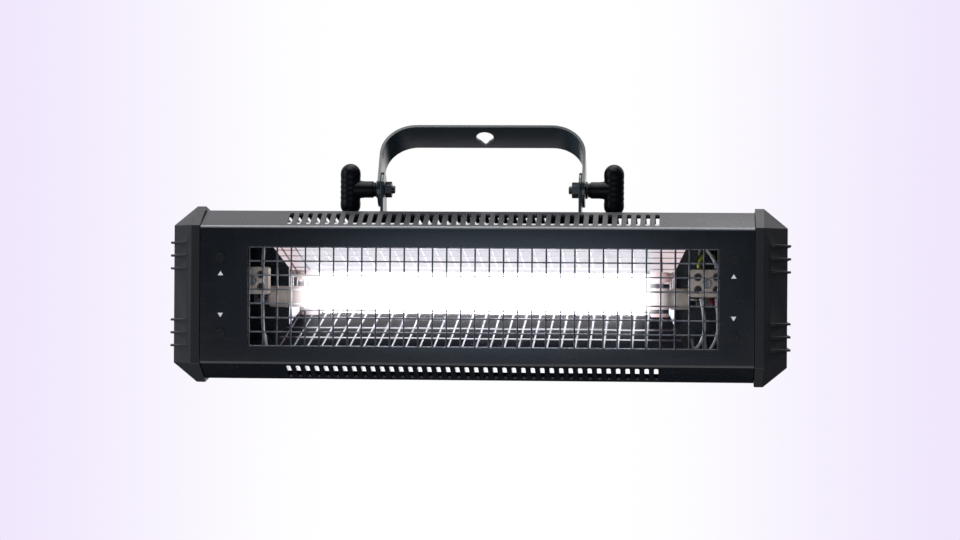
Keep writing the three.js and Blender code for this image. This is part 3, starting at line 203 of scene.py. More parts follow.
class Wave:
    """A number that varies over a surface, written with the usual operators."""

    def __init__(self, graph: Graph, socket: Socket) -> None:
        """Wraps an output socket of a graph."""
        self.graph = graph
        self.socket = socket

    def apply(self, operation: str, *others: Any, first: Any = None) -> Wave:
        """Adds a Math node.

        Args:
            operation: the node's operation.
            others: what follows this wave among its inputs.
            first: what comes before this wave, if anything.

        Returns:
            The node's result.
        """
        inputs = [self, *others] if first is None else [first, self, *others]
        made = self.graph.node("ShaderNodeMath", {"operation": operation}, dict(enumerate(inputs)))
        return Wave(self.graph, made.outputs[0])

    def __add__(self, other: Any) -> Wave:
        """Sum."""
        return self.apply("ADD", other)

    __radd__ = __add__

    def __sub__(self, other: Any) -> Wave:
        """Difference."""
        return self.apply("SUBTRACT", other)

    def __rsub__(self, other: Any) -> Wave:
        """Difference from a number."""
        return self.apply("SUBTRACT", first=other)

    def __mul__(self, other: Any) -> Wave:
        """Product."""
        return self.apply("MULTIPLY", other)

    __rmul__ = __mul__

    def __truediv__(self, other: Any) -> Wave:
        """Quotient."""
        return self.apply("DIVIDE", other)

    def __rtruediv__(self, other: Any) -> Wave:
        """A number divided by this."""
        return self.apply("DIVIDE", first=other)

    def __abs__(self) -> Wave:
        """Size without its sign."""
        return self.apply("ABSOLUTE")

    def sine(self) -> Wave:
        """Sine of this wave."""
        return self.apply("SINE")

    def most(self, other: Any) -> Wave:
        """The larger of the two."""
        return self.apply("MAXIMUM", other)

    def step(self, low: float, high: float) -> Wave:
        """A smooth step.

        Args:
            low: where the result is 0.
            high: where the result is 1; it may lie below low.

        Returns:
            A wave between 0 and 1.
        """
        made = self.graph.node(
            "ShaderNodeMapRange", {"interpolation_type": "SMOOTHSTEP", "clamp": True},
            {0: self, 1: min(low, high), 2: max(low, high), 3: float(low > high), 4: float(low < high)},
        )
        return Wave(self.graph, made.outputs[0])


class Shading(Graph):
    """A material's graph, with the textures that the finishes are made from."""

    def __init__(self, name: str) -> None:
        """Makes the material.

        Args:
            name: the material's name.
        """
        self.material = bpy.data.materials.new(name)
        self.material.use_nodes = True
        super().__init__(self.material.node_tree)
        self._spot: Socket | None = None

    def vector(self, operation: str, values: Mapping[str | int, Any]) -> Node:
        """Adds a Vector Math node."""
        return self.node("ShaderNodeVectorMath", {"operation": operation}, values)

    def spot(self) -> Socket:
        """The surface point in the case's millimetres."""
        if self._spot is None:
            local = self.node("ShaderNodeTexCoord").outputs["Object"]
            values = {0: local, 1: (1.0 / MM,) * 3, 2: tuple(CLAMP_HOLE)}
            self._spot = self.vector("MULTIPLY_ADD", values).outputs[0]
        return self._spot

    def axes(self) -> tuple[Wave, Wave, Wave]:
        """The surface point's x, y and z in millimetres."""
        return self.split(self.spot())

    def stretched(self, scale: Triple) -> Socket:
        """The surface point with each axis scaled."""
        return self.vector("MULTIPLY", {0: self.spot(), 1: scale}).outputs[0]

    def noise(self, size: float, detail: float = 3.0, where: Any = None, rough: float = 0.55) -> Wave:
        """Cloudy noise about one half, so many millimetres to a lump, read at the surface or elsewhere."""
        values = {"Vector": where or self.spot(), "Scale": 1.0 / size, "Detail": detail, "Roughness": rough}
        return Wave(self, self.node("ShaderNodeTexNoise", {"noise_dimensions": "3D"}, values).outputs[0])

    def cells(self, size: float, feature: str = "F1") -> Wave:
        """Distance to points that are scattered so many millimetres apart."""
        settings = {"voronoi_dimensions": "3D", "feature": feature}
        made = self.node("ShaderNodeTexVoronoi", settings, {"Vector": self.spot(), "Scale": 1.0 / size})
        return Wave(self, made.outputs["Distance"])

    def relief(self, height: Wave, depth: float, strength: float, normal: Socket | None = None) -> Socket:
        """Turns a height into a normal.

        Args:
            height: the height, about 0 to 1.
            depth: millimetres between low and high.
            strength: how much of it is used.
            normal: the normal that it adds to; the surface's own if left out.

        Returns:
            A normal socket.
        """
        values = {"Strength": strength, "Distance": depth * MM, "Height": height}
        if normal is not None:
            values["Normal"] = normal
        return self.node("ShaderNodeBump", values=values).outputs[0]

    def facing(self, direction: Triple) -> tuple[Socket, Socket, Wave]:
        """How squarely a face looks in a direction of the piece.

        Args:
            direction: the direction, in the piece's own axes.

        Returns:
            The direction in the world, the face's normal there, and their dot product.
        """
        spaces = {"vector_type": "NORMAL", "convert_from": "OBJECT", "convert_to": "WORLD"}
        ahead = self.node("ShaderNodeVectorTransform", spaces, {0: direction}).outputs[0]
        own = self.node("ShaderNodeNewGeometry").outputs["True Normal"]
        return ahead, own, Wave(self, self.vector("DOT_PRODUCT", {0: own, 1: ahead}).outputs["Value"])

    def turned_forward(self, share: Wave) -> Socket:
        """The normal of faces that look forward, turned further towards the front.

        Args:
            share: how much of the forward direction is added to the normal.

        Returns:
            A normal socket.
        """
        forward, own, facing = self.facing((0.0, -1.0, 0.0))
        added = self.vector("SCALE", {0: forward, "Scale": facing.step(0.05, 0.3) * share})
        return self.vector("NORMALIZE", {0: self.vector("ADD", {0: own, 1: added})}).outputs[0]

    def surface(
        self, colour: Any, rough: Any, normal: Socket | None = None, metal: float = 0.0,
        glow: Socket | None = None, lit: float = 0.0, shine: float = 0.5,
    ) -> Material:
        """Closes the graph with the shader.

        Args:
            colour: base colour.
            rough: roughness.
            normal: the normal; the surface's own if left out.
            metal: how metallic it is.
            glow: colour of the light that it gives off, if any.
            lit: strength of that light.
            shine: specular level.

        Returns:
            The finished material.
        """
        values = {"Base Color": colour, "Roughness": rough, "Metallic": metal, "Specular IOR Level": shine}
        if normal is not None:
            values["Normal"] = normal
        if glow is not None:
            values |= {"Emission Color": glow, "Emission Strength": lit}
        shader = self.node("ShaderNodeBsdfPrincipled", values=values)
        self.node("ShaderNodeOutputMaterial", values={0: shader})
        return self.material


class Pattern(Graph):
    """A Geometry Nodes tree with named inputs."""

    def __init__(self, name: str, **kinds: str) -> None:
        """Makes the tree with its geometry and its inputs.

        Args:
            name: the tree's name.
            kinds: the socket type of each input, without its prefix.
        """
        super().__init__(bpy.data.node_groups.new(name, "GeometryNodeTree"))
        self.tree.interface.new_socket("Geometry", in_out="OUTPUT", socket_type="NodeSocketGeometry")
        for label, kind in {"Geometry": "Geometry", **kinds, "Material": "Material"}.items():
            self.tree.interface.new_socket(label, in_out="INPUT", socket_type=f"NodeSocket{kind}")
        self.sizes = self.node("NodeGroupInput").outputs

    def element(self) -> Socket:
        """The geometry of the object that is repeated."""
        return self.node("GeometryNodeObjectInfo", values={0: self.sizes["Element"]}).outputs["Geometry"]

    def line(self, count: Any, offset: Any, start: Any = (0.0, 0.0, 0.0)) -> Node:
        """Points in a row, one offset from each to the next."""
        values = {"Count": count, "Start Location": start, "Offset": offset}
        return self.node("GeometryNodeMeshLine", {"mode": "OFFSET"}, values)

    def spread(self, points: Any, element: Any) -> Node:
        """An element on each point."""
        return self.node("GeometryNodeInstanceOnPoints", values={"Points": points, "Instance": element})

    def solid(self, instances: Any) -> Node:
        """Instances made real."""
        return self.node("GeometryNodeRealizeInstances", values={0: instances})

    def close(self, geometry: Any) -> Tree:
        """Ends the tree in Realize Instances and Set Material.

        Args:
            geometry: what the tree has made.

        Returns:
            The finished tree.
        """
        values = {0: self.solid(geometry), 2: self.sizes["Material"]}
        self.node("NodeGroupOutput", values={0: self.node("GeometryNodeSetMaterial", values=values)})
        return self.tree

    def lattice(self, element: Any, sizes: Any) -> Node:
        """Sets one element on every point of a grid of two steps.

        Args:
            element: the instance's geometry.
            sizes: Columns, ColumnStep, Rows, RowStep and Start by name.

        Returns:
            The node that makes the instances.
        """
        rows = self.line(sizes["Rows"], sizes["RowStep"], sizes["Start"])
        grid = self.spread(rows, self.line(sizes["Columns"], sizes["ColumnStep"]))
        return self.spread(self.solid(grid), element)


def grid_tree(cuts: bool) -> Tree:
    """A tree that repeats an object over rows and columns.

    Args:
        cuts: whether the copies are cut out of the mesh that the tree is on.

    Returns:
        The tree.
    """
    steps = {"Columns": "Int", "ColumnStep": "Vector", "Rows": "Int", "RowStep": "Vector", "Start": "Vector"}
    pattern = Pattern("perforate in rows" if cuts else "repeat in rows", Element="Object", **steps)
    placed = pattern.lattice(pattern.element(), pattern.sizes)
    if not cuts:
        return pattern.close(placed)
    values = {"Mesh 1": pattern.sizes["Geometry"], "Mesh 2": pattern.solid(placed)}
    return pattern.close(pattern.node("GeometryNodeMeshBoolean", {"operation": "DIFFERENCE"}, values))


def ring_tree() -> Tree:
    """A tree that repeats an object round an axis along Y."""
    pattern = Pattern("repeat in a ring", Element="Object", Count="Int", Centre="Vector")
    count = pattern.sizes["Count"]
    points = pattern.line(count, (0.0, 0.0, 0.0), pattern.sizes["Centre"])
    angle = Wave(pattern, pattern.node("GeometryNodeInputIndex").outputs[0]) / count * math.tau
    placed = pattern.spread(points, pattern.element())
    pattern.plug(placed.inputs["Rotation"], pattern.node("ShaderNodeCombineXYZ", values={1: angle}))
    return pattern.close(placed)


def wire_mesh_tree() -> Tree:
    """A tree that makes a welded mesh of upright and level wires with a weld at each crossing."""
    pattern = Pattern(
        "welded wire mesh", Uprights="Int", Levels="Int", Pitch="Float", Wire="Float", Height="Float",
        Width="Float", UprightCorner="Vector", LevelCorner="Vector", WeldSize="Vector", Sides="Int",
    )
    sizes = pattern.sizes
    section = {"Resolution": sizes["Sides"], "Radius": sizes["Wire"]}
    profile = pattern.node("GeometryNodeCurvePrimitiveCircle", {"mode": "RADIUS"}, section)

    def along(index: int, value: Any) -> Node:
        """A vector along one axis."""
        return pattern.node("ShaderNodeCombineXYZ", values={index: value})

    def row(count: Any, corner: Any, step: Any, reach: Any) -> Node:
        """A row of equal rods.

        Args:
            count: how many.
            corner: the first rod's start.
            step: from one to the next.
            reach: from a rod's start to its end.

        Returns:
            The node that makes the rods.
        """
        curve = pattern.node("GeometryNodeCurvePrimitiveLine", {"mode": "POINTS"}, {"End": reach})
        values = {"Curve": curve, "Profile Curve": profile, "Fill Caps": True}
        rod = pattern.node("GeometryNodeCurveToMesh", values=values)
        return pattern.spread(pattern.line(count, step, corner), rod)

    right, up = along(0, sizes["Pitch"]), along(2, sizes["Pitch"])
    uprights = row(sizes["Uprights"], sizes["UprightCorner"], right, along(2, sizes["Height"]))
    levels = row(sizes["Levels"], sizes["LevelCorner"], up, along(0, sizes["Width"]))
    x, front, _ = pattern.split(sizes["UprightCorner"])
    _, back, z = pattern.split(sizes["LevelCorner"])
    corner = pattern.node("ShaderNodeCombineXYZ", values={0: x, 1: (front + back) * 0.5, 2: z})
    blob = pattern.node("GeometryNodeMeshIcoSphere", values={"Radius": 1.0, "Subdivisions": 2})
    weld = pattern.node("GeometryNodeTransform", values={"Geometry": blob, "Scale": sizes["WeldSize"]})
    steps = {"Columns": sizes["Uprights"], "ColumnStep": right, "Rows": sizes["Levels"], "RowStep": up}
    welds = pattern.lattice(weld, {**steps, "Start": corner})
    joined = pattern.node("GeometryNodeJoinGeometry")
    for part in (uprights, levels, welds):
        pattern.plug(joined.inputs[0], part)
    return pattern.close(joined)


# Outlines and forms


def arc(a: float, b: float, radius: float, first: float, last: float, steps: int) -> Outline:
    """Points on a circle."""
    angles = [math.tau * (first + (last - first) * step / steps) for step in range(steps + 1)]
    return [(a + radius * math.cos(angle), b + radius * math.sin(angle)) for angle in angles]


def circle(a: float, b: float, radius: float, sides: int) -> Outline:
    """A circle as an outline."""
    return arc(a, b, radius, 0.0, 1.0, sides)[:-1]


def rectangle(left: float, right: float, low: float, high: float) -> Outline:
    """A rectangle as an outline."""
    return [(left, low), (right, low), (right, high), (left, high)]


def round_rectangle(a: float, b: float, width: float, height: float, radius: float, steps: int) -> Outline:
    """A rectangle with round corners.

    Args:
        a: centre along the first axis.
        b: centre along the second axis.
        width: size along the first axis.
        height: size along the second axis.
        radius: corner radius.
        steps: facets to a corner.

    Returns:
        The outline.
    """
    points: Outline = []
    for quarter, (sign_a, sign_b) in enumerate(((1, 1), (-1, 1), (-1, -1), (1, -1))):
        centre = (a + sign_a * (width / 2 - radius), b + sign_b * (height / 2 - radius))
        points += arc(*centre, radius, quarter / 4, (quarter + 1) / 4, steps)
    return points


def slot_outline(width: float, length: float, steps: int = 8) -> Outline:
    """A slot about the origin, with its length along the second axis and its round ends in it."""
    half = arc(0.0, (length - width) / 2, width / 2, 0.0, 0.5, steps)
    return half + [(-a, -b) for a, b in half]


def mirrored(profile: Outline, sign: int) -> Outline:
    """A turned profile, pointing the other way if the sign is -1."""
    return [(radius, sign * along) for radius, along in profile]


def offset_path(points: Outline, distance: float) -> Outline:
    """An open path moved to its left, with mitred corners.

    Args:
        points: the path.
        distance: how far.

    Returns:
        The moved path.
    """
    normals = []
    for (a0, b0), (a1, b1) in zip(points, points[1:]):
        length = math.hypot(a1 - a0, b1 - b0)
        normals.append((-(b1 - b0) / length, (a1 - a0) / length))
    moved = []
    for (a, b), before, after in zip(points, normals[:1] + normals, normals + normals[-1:]):
        share = distance / (1 + before[0] * after[0] + before[1] * after[1])
        moved.append((a + (before[0] + after[0]) * share, b + (before[1] + after[1]) * share))
    return moved


def rounded_path(points: Outline, radius: float, steps: int) -> Outline:
    """An open path with round corners.

    Args:
        points: the path.
        radius: corner radius.
        steps: facets to a corner.

    Returns:
        The rounded path.
    """
    result = [points[0]]
    for before, corner, after in zip(points, points[1:], points[2:]):
        middle = Vector(corner)
        back, ahead = (Vector(before) - middle).normalized(), (Vector(after) - middle).normalized()
        half = back.angle(ahead) / 2
        centre = middle + (back + ahead).normalized() * (radius / math.sin(half))
        tangent = radius / math.tan(half)
        first, last = middle + back * tangent - centre, middle + ahead * tangent - centre
        turn = math.atan2(first.x * last.y - first.y * last.x, first.dot(last)) / math.tau
        start = math.atan2(first.y, first.x) / math.tau
        result += arc(centre.x, centre.y, radius, start, start + turn, steps)
    return [*result, points[-1]]


def folded_section(path: Outline, sheet: float, radius: float) -> Outline:
    """The section of a bent sheet that lies on the left of its outer path.

    Args:
        path: the outer face's corners; both edges are cut square to the first axis.
        sheet: thickness.
        radius: outer fold radius.

    Returns:
        The section's outline.
    """
    inner = offset_path(path, sheet)
    for end, near in ((0, 1), (-1, -2)):
        (a0, b0), (a1, b1) = inner[end], inner[near]
        edge = path[end][0]
        inner[end] = (edge, b0 + (b1 - b0) * (edge - a0) / (a1 - a0))
    return rounded_path(path, radius, 8) + rounded_path(inner, max(radius - sheet, 0.2), 4)[::-1]


def oriented(axis: Axis, a: float, b: float, c: float) -> Vector:
    """A point from two coordinates across an axis and one along it."""
    return Vector({Axis.X: (c, a, b), Axis.Y: (a, c, b), Axis.Z: (a, b, c)}[axis])


class Form:
    """A mesh under construction, in the case's millimetres."""

    def __init__(self) -> None:
        """Starts empty."""
        self.mesh = bmesh.new()

    def prism(
        self, outline: Outline, low: float, high: float, axis: Axis, holes: Iterable[Outline] = ()
    ) -> Form:
        """Adds an extruded outline.

        Args:
            outline: (y, z) along X, (x, z) along Y, (x, y) along Z.
            low: where it starts.
            high: where it ends.
            axis: the direction.
            holes: outlines inside it.

        Returns:
            The form itself.
        """
        loops = [outline, *holes]
        near, far = (
            [self.mesh.verts.new(oriented(axis, a, b, level)) for loop in loops for a, b in loop]
            for level in (low, high)
        )
        faces = []
        for triangle in tessellate_polygon([[Vector((a, b, 0.0)) for a, b in loop] for loop in loops]):
            for layer in (near, far):
                faces.append(self.mesh.faces.new([layer[index] for index in triangle]))
        start = 0
        for loop in loops:
            for index in range(len(loop)):
                a, b = start + index, start + (index + 1) % len(loop)
                faces.append(self.mesh.faces.new((near[a], near[b], far[b], far[a])))
            start += len(loop)
        return self.outwards(faces)

    def lathe(self, profile: Outline, centre: Point, axis: Axis, sides: int) -> Form:
        """Adds a turned form.

        Args:
            profile: radius and place along the axis; it is a ring if it ends where it starts.
            centre: the axis's origin.
            axis: the direction.
            sides: facets round.

        Returns:
            The form itself.
        """
        closed = profile[0][0] != 0 and profile[0] == profile[-1]
        rings = []
        for radius, along in profile[:-1] if closed else profile:
            ring = circle(0.0, 0.0, radius, sides) if radius else [(0.0, 0.0)]
            rings.append([self.mesh.verts.new(Vector(centre) + oriented(axis, a, b, along)) for a, b in ring])
        return self.outwards(self._skin(rings, closed))

    def pipe(self, points: Sequence[Point], radius: float, sides: int, closed: bool = False) -> Form:
        """Adds a round wire along points.

        Args:
            points: its middle line.
            radius: its radius.
            sides: facets round.
            closed: whether it ends where it starts.

        Returns:
            The form itself.
        """
        line = [Vector(point) for point in points]
        before, after = line[-1:] + line[:-1], line[1:] + line[:1]
        if not closed:
            before[0], after[-1] = line[0], line[-1]
        rings = []
        normal = (after[0] - before[0]).orthogonal()
        for spot, last, following in zip(line, before, after):
            ahead = (following - last).normalized()
            normal = (normal - ahead * normal.dot(ahead)).normalized()
            across = ahead.cross(normal)
            section = circle(0.0, 0.0, radius, sides)
            rings.append([self.mesh.verts.new(spot + normal * a + across * b) for a, b in section])
        faces = self._skin(rings, closed)
        if not closed:
            faces += [self.mesh.faces.new(rings[0]), self.mesh.faces.new(rings[-1])]
        return self.outwards(faces)

    def _skin(self, rings: list[list[Any]], closed: bool) -> list[Any]:
        """Joins rings of points by faces.

        Args:
            rings: the rings; one of a single point is a pole.
            closed: whether the last one is joined to the first.

        Returns:
            The faces.
        """
        faces = []
        for first, second in zip(rings, rings[1:] + (rings[:1] if closed else [])):
            for k in range(max(len(first), len(second))):
                low = [first[k % len(first)], first[(k + 1) % len(first)]]
                high = [second[(k + 1) % len(second)], second[k % len(second)]]
                corners = list(dict.fromkeys(low + high))
                if len(corners) > 2:
                    faces.append(self.mesh.faces.new(corners))
        return faces

    def outwards(self, faces: list[Any]) -> Form:
        """Makes faces point outwards."""
        bmesh.ops.recalc_face_normals(self.mesh, faces=faces)
        return self

    def moved(self, matrix: Matrix) -> Form:
        """Moves everything made so far.

        Args:
            matrix: the transform, in millimetres.

        Returns:
            The form itself.
        """
        bmesh.ops.transform(self.mesh, matrix=matrix, verts=self.mesh.verts)
        if matrix.determinant() < 0:
            bmesh.ops.reverse_faces(self.mesh, faces=self.mesh.faces)
        return self

    def to_mesh(self, name: str, framed: bool = True) -> Mesh:
        """Writes the form to a mesh.

        Args:
            name: the mesh's name.
            framed: whether its place is taken to the frame; otherwise only its size.

        Returns:
            The mesh, in metres.
        """
        made = bpy.data.meshes.new(name)
        self.mesh.to_mesh(made)
        self.mesh.free()
        shift = Matrix.Translation(-CLAMP_HOLE) if framed else Matrix.Identity(4)
        made.transform(Matrix.Scale(MM, 4) @ shift)
        return made


# Finishes

DARK = (0.0, 0.0, 0.0)


def tube_glare(shading: Shading, reach: float, low: Pair, high: Pair) -> Wave:
    """How much painted glare from the lit tube whitens a surface point.

    Args:
        shading: the material's graph.
        reach: half the length that it whitens.
        low: heights below the tube where it starts and where it is full.
        high: heights above the tube where it is full and where it ends.

    Returns:
        A wave between 0 and 1.
    """
    x, _, z = shading.axes()
    along = abs(x - GLARE_X).step(reach + 7.0, reach - 7.0)
    return along * z.step(low[0], low[1]) * z.step(high[1], high[0])


@dataclass(frozen=True)
class Finish:
    """A finish: its record slot and its graph."""

    slot: str = "black_paint"

    def draw(self, shading: Shading) -> Material:
        """Fills an empty graph and gives back its material."""
        raise NotImplementedError


@dataclass(frozen=True)
class PaintedSheet(Finish):
    """Satin black powder paint on sheet steel, with a fine peel, dust and a painted highlight on the top
    front fold.
    """

    colour: Colour = (0.0030, 0.0050, 0.0085)
    worn: Colour = (0.010, 0.013, 0.018)
    # Pale grey of the painted highlight on the top front fold, standing in for the light that fold catches.
    rubbed: Colour = (0.24, 0.25, 0.265)
    rough: float = 0.26
    peel: float = 0.55
    gloss: float = 0.76

    def draw(self, shading: Shading) -> Material:
        """See Finish."""
        clouds = shading.noise(38.0, 4.0)
        scuffs = shading.noise(9.0, 5.0, shading.stretched((0.35, 1.0, 1.6)))
        dust = shading.noise(2.6, 6.0, rough=0.7).step(0.56, 0.74)
        peel = shading.noise(self.peel, 2.0)
        lumps = shading.noise(self.peel * 4.0, 2.0)
        _, y, z = shading.axes()
        # Painted highlight: along the top fold of the front face the colour turns towards the pale grey, for
        # the light caught by the fold.
        fold = z.step(46.6, 47.8) * z.step(49.4, 48.6) * y.step(2.0, 0.9)
        painted = shading.blend(scuffs.step(0.5, 0.72) * 0.2 + dust * 0.3, self.colour, self.worn)
        colour = shading.blend(fold * (0.7 + dust * 0.3), painted, self.rubbed)
        rough = self.rough + (clouds - 0.5) * 0.08 + scuffs.step(0.55, 0.7) * 0.02 + dust * 0.04
        return shading.surface(
            colour, rough, shading.relief(peel * 0.7 + lumps * 0.5, 0.035, 0.7), shine=self.gloss
        )


@dataclass(frozen=True)
class MouldedPlastic(Finish):
    """Black moulded plastic with a spark-eroded grain."""

    slot: str = "black_mould"
    colour: Colour = (0.0052, 0.0064, 0.0080)
    pale: Colour = (0.013, 0.0145, 0.017)
    rough: float = 0.42
    grain: float = 0.5

    def draw(self, shading: Shading) -> Material:
        """See Finish."""
        clouds = shading.noise(24.0, 4.0)
        grain = shading.cells(self.grain)
        fine = shading.noise(self.grain * 0.7, 3.0)
        # Pale patches of rubbed wear, scattered at random.
        rubbed = shading.noise(7.0, 5.0).step(0.55, 0.75)
        colour = shading.blend(rubbed * 0.4 + grain * 0.25, self.colour, self.pale)
        rough = self.rough + (clouds - 0.5) * 0.12 + (1 - grain) * 0.05
        return shading.surface(colour, rough, shading.relief(grain * 0.6 + fine * 0.6, 0.05, 0.6))


@dataclass(frozen=True)
class PlatedWire(Finish):
    """Drawn steel wire, plated, a little stained by heat, with a painted glow where the lit tube lies behind
    it.
    """

    slot: str = "mesh"
    colour: Colour = (0.15, 0.16, 0.185)
    stain: Colour = (0.07, 0.07, 0.075)
    glow: Colour = (1.0, 0.98, 1.0)
    reach: float = 124.0
    rough: float = 0.30
    lit: float = 1.3

    def draw(self, shading: Shading) -> Material:
        """See Finish."""
        stain = shading.noise(5.0, 5.0).step(0.42, 0.72)
        lines = shading.noise(0.25, 2.0, shading.stretched((0.25, 1.0, 0.25)))
        colour = shading.blend(stain, self.colour, self.stain)
        # Painted light: the wire's backs that face the tube, and all of it in the band before the tube's arc,
        # emit a glow for the tube's light. The masks go by place in the case, so the fan guard's wire in that
        # band glows too.
        backs = shading.facing((0.0, 1.0, 0.0))[2].step(0.1, 0.5) * 0.55
        lit_backs = backs * tube_glare(shading, self.reach, (-46.0, -34.0), (34.0, 46.0))
        glare = tube_glare(shading, self.reach, (-11.5, -8.0), (10.5, 16.2)).most(lit_backs)
        normal, glow = shading.relief(lines, 0.01, 0.5), shading.blend(glare, DARK, self.glow)
        return shading.surface(colour, self.rough + stain * 0.2, normal, 1.0, glow, self.lit)


@dataclass(frozen=True)
class PolishedSheet(Finish):
    """Bright rolled aluminium with a slow ripple, a few wipe marks, pink ends that are heat tint and painted
    reflection, and painted glow from the tube.
    """

    slot: str = "polished_sheet"
    colour: Colour = (0.84, 0.83, 0.87)
    dull: Colour = (0.58, 0.57, 0.62)
    # Pink of the trough's ends: heat tint, and painted pink-white reflection there.
    heated: Colour = (0.80, 0.66, 0.66)
    glow: Colour = (0.98, 0.96, 1.0)
    rough: float = 0.04
    lit: float = 1.2

    def draw(self, shading: Shading) -> Material:
        """See Finish."""
        ripple = shading.noise(26.0, 2.0, shading.stretched((0.5, 1.0, 1.0)))
        lines = shading.noise(0.6, 3.0, shading.stretched((0.02, 1.0, 1.0)))
        smear = shading.noise(14.0, 5.0).step(0.45, 0.75)
        x, _, z = shading.axes()
        plain = shading.blend(smear * 0.35, self.colour, self.dull)
        # Pink at both ends of the trough: partly heat tint, partly painted reflection of the pink-white light
        # there.
        colour = shading.blend(abs(x + 2.0).step(122.0, 132.0) * 0.9, plain, self.heated)
        rough = self.rough + smear * 0.05 + lines * 0.02
        bowl = shading.turned_forward(7.5 - z.step(-2.0, 0.5) * 5.2)
        # Painted light: emitted glow on a band beside the tube, on the trough's lips, nearer the tube and as
        # a fainter haze round it, standing in for the tube's glare.
        core = tube_glare(shading, 126.0, (-12.2, -10.2), (12.0, 15.5))
        painted_lip_glow = abs(z - TUBE_Z).step(38.0, 39.0) * 0.6
        near = tube_glare(shading, 122.0, (-17.5, -10.5), (14.0, 18.0)) * 0.36
        haze = tube_glare(shading, 120.0, (-36.0, -11.0), (16.0, 30.0)) * 0.11
        glow = shading.blend(core.most(painted_lip_glow).most(haze.most(near)), DARK, self.glow)
        normal = shading.relief(ripple + lines * 0.02, 0.16, 0.5, bowl)
        return shading.surface(colour, rough, normal, 1.0, glow, self.lit)


@dataclass(frozen=True)
class ZincSheet(Finish):
    """Zinc-coated sheet with its spangle."""

    slot: str = "zinc_sheet"
    colour: Colour = (0.42, 0.43, 0.45)
    dark: Colour = (0.26, 0.27, 0.29)
    rough: float = 0.34

    def draw(self, shading: Shading) -> Material:
        """See Finish."""
        spangle = shading.cells(6.0)
        fine = shading.noise(1.2, 4.0)
        colour = shading.blend(spangle * 0.8 + fine * 0.3, self.colour, self.dark)
        rough = self.rough + spangle * 0.14 + fine * 0.08
        return shading.surface(colour, rough, shading.relief(fine, 0.02, 0.5), 0.9)


@dataclass(frozen=True)
class BlackenedSteel(Finish):
    """Blackened steel of screws, nuts and washers."""

    slot: str = "black_steel"
    colour: Colour = (0.035, 0.036, 0.040)
    bare: Colour = (0.16, 0.16, 0.17)
    rough: float = 0.34

    def draw(self, shading: Shading) -> Material:
        """See Finish."""
        wear = shading.noise(1.6, 5.0).step(0.55, 0.8)
        turned = shading.noise(0.3, 3.0)
        colour = shading.blend(wear * 0.6, self.colour, self.bare)
        return shading.surface(colour, self.rough + turned * 0.14, shading.relief(turned, 0.012, 0.5), 0.85)


@dataclass(frozen=True)
class Ceramic(Finish):
    """Unglazed cream ceramic with specks and soot."""

    slot: str = "ceramic"
    colour: Colour = (0.50, 0.44, 0.38)
    soot: Colour = (0.20, 0.16, 0.14)
    rough: float = 0.62

    def draw(self, shading: Shading) -> Material:
        """See Finish."""
        clouds = shading.noise(6.0, 5.0).step(0.4, 0.8)
        specks = shading.cells(0.9).step(0.24, 0.1)
        pores = shading.noise(0.35, 3.0)
        colour = shading.blend(clouds * 0.45 + specks * 0.3, self.colour, self.soot)
        return shading.surface(colour, self.rough + pores * 0.15, shading.relief(pores, 0.04, 0.6))


@dataclass(frozen=True)
class LampCeramic(Ceramic):
    """Ceramic of the lamp's bases, with a painted pink-white glow towards the tube."""

    glow: Colour = (1.0, 0.88, 0.92)
    lit: float = 1.1

    def draw(self, shading: Shading) -> Material:
        """See Finish."""
        pores = shading.noise(0.35, 3.0)
        clouds = shading.noise(6.0, 5.0).step(0.4, 0.8)
        colour = shading.blend(clouds * 0.35, self.colour, self.soot)
        normal = shading.relief(pores, 0.04, 0.6)
        # Painted glow: the bases emit light at their inner ends, as if lit by the tube.
        glow = shading.blend(abs(shading.axes()[0]).step(137.0, 121.0), DARK, self.glow)
        return shading.surface(colour, self.rough + pores * 0.15, normal, glow=glow, lit=self.lit)


@dataclass(frozen=True)
class FlashTube(Finish):
    """The lit tube: white along the arc, clear grey glass at its ends."""

    slot: str = "lamp_glass"
    glass: Colour = (0.70, 0.70, 0.76)
    smoke: Colour = (0.40, 0.40, 0.46)
    glow: Colour = (1.0, 0.965, 1.0)
    strength: float = 16.0
    arc_half: float = 119.0
    fade: float = 4.0

    def draw(self, shading: Shading) -> Material:
        """See Finish."""
        lit = abs(shading.axes()[0]).step(self.arc_half + self.fade, self.arc_half - self.fade)
        haze = shading.noise(3.0, 4.0)
        colour = shading.blend(haze * 0.5, self.glass, self.smoke)
        glow = shading.blend(lit, DARK, self.glow)
        return shading.surface(colour, 0.08 + haze * 0.05, glow=glow, lit=self.strength)


@dataclass(frozen=True)
class Insulation(Finish):
    """Coloured insulation of a lead, woven or smooth."""

    slot: str = "white_lead"
    colour: Colour = (0.60, 0.60, 0.63)
    soiled: Colour = (0.38, 0.37, 0.38)
    rough: float = 0.45
    weave: float = 0.0

    def draw(self, shading: Shading) -> Material:
        """See Finish."""
        clouds = shading.noise(4.0, 4.0).step(0.4, 0.75)
        if self.weave > 0:
            x, y, z = shading.axes()
            one = ((x + z) * (math.tau / self.weave)).sine()
            two = ((x - z + y) * (math.tau / self.weave)).sine()
            height = (one * two) * 0.5 + 0.5
        else:
            height = shading.noise(0.5, 3.0)
        colour = shading.blend(clouds * 0.6, self.colour, self.soiled)
        return shading.surface(colour, self.rough + clouds * 0.12, shading.relief(height, 0.05, 0.6))


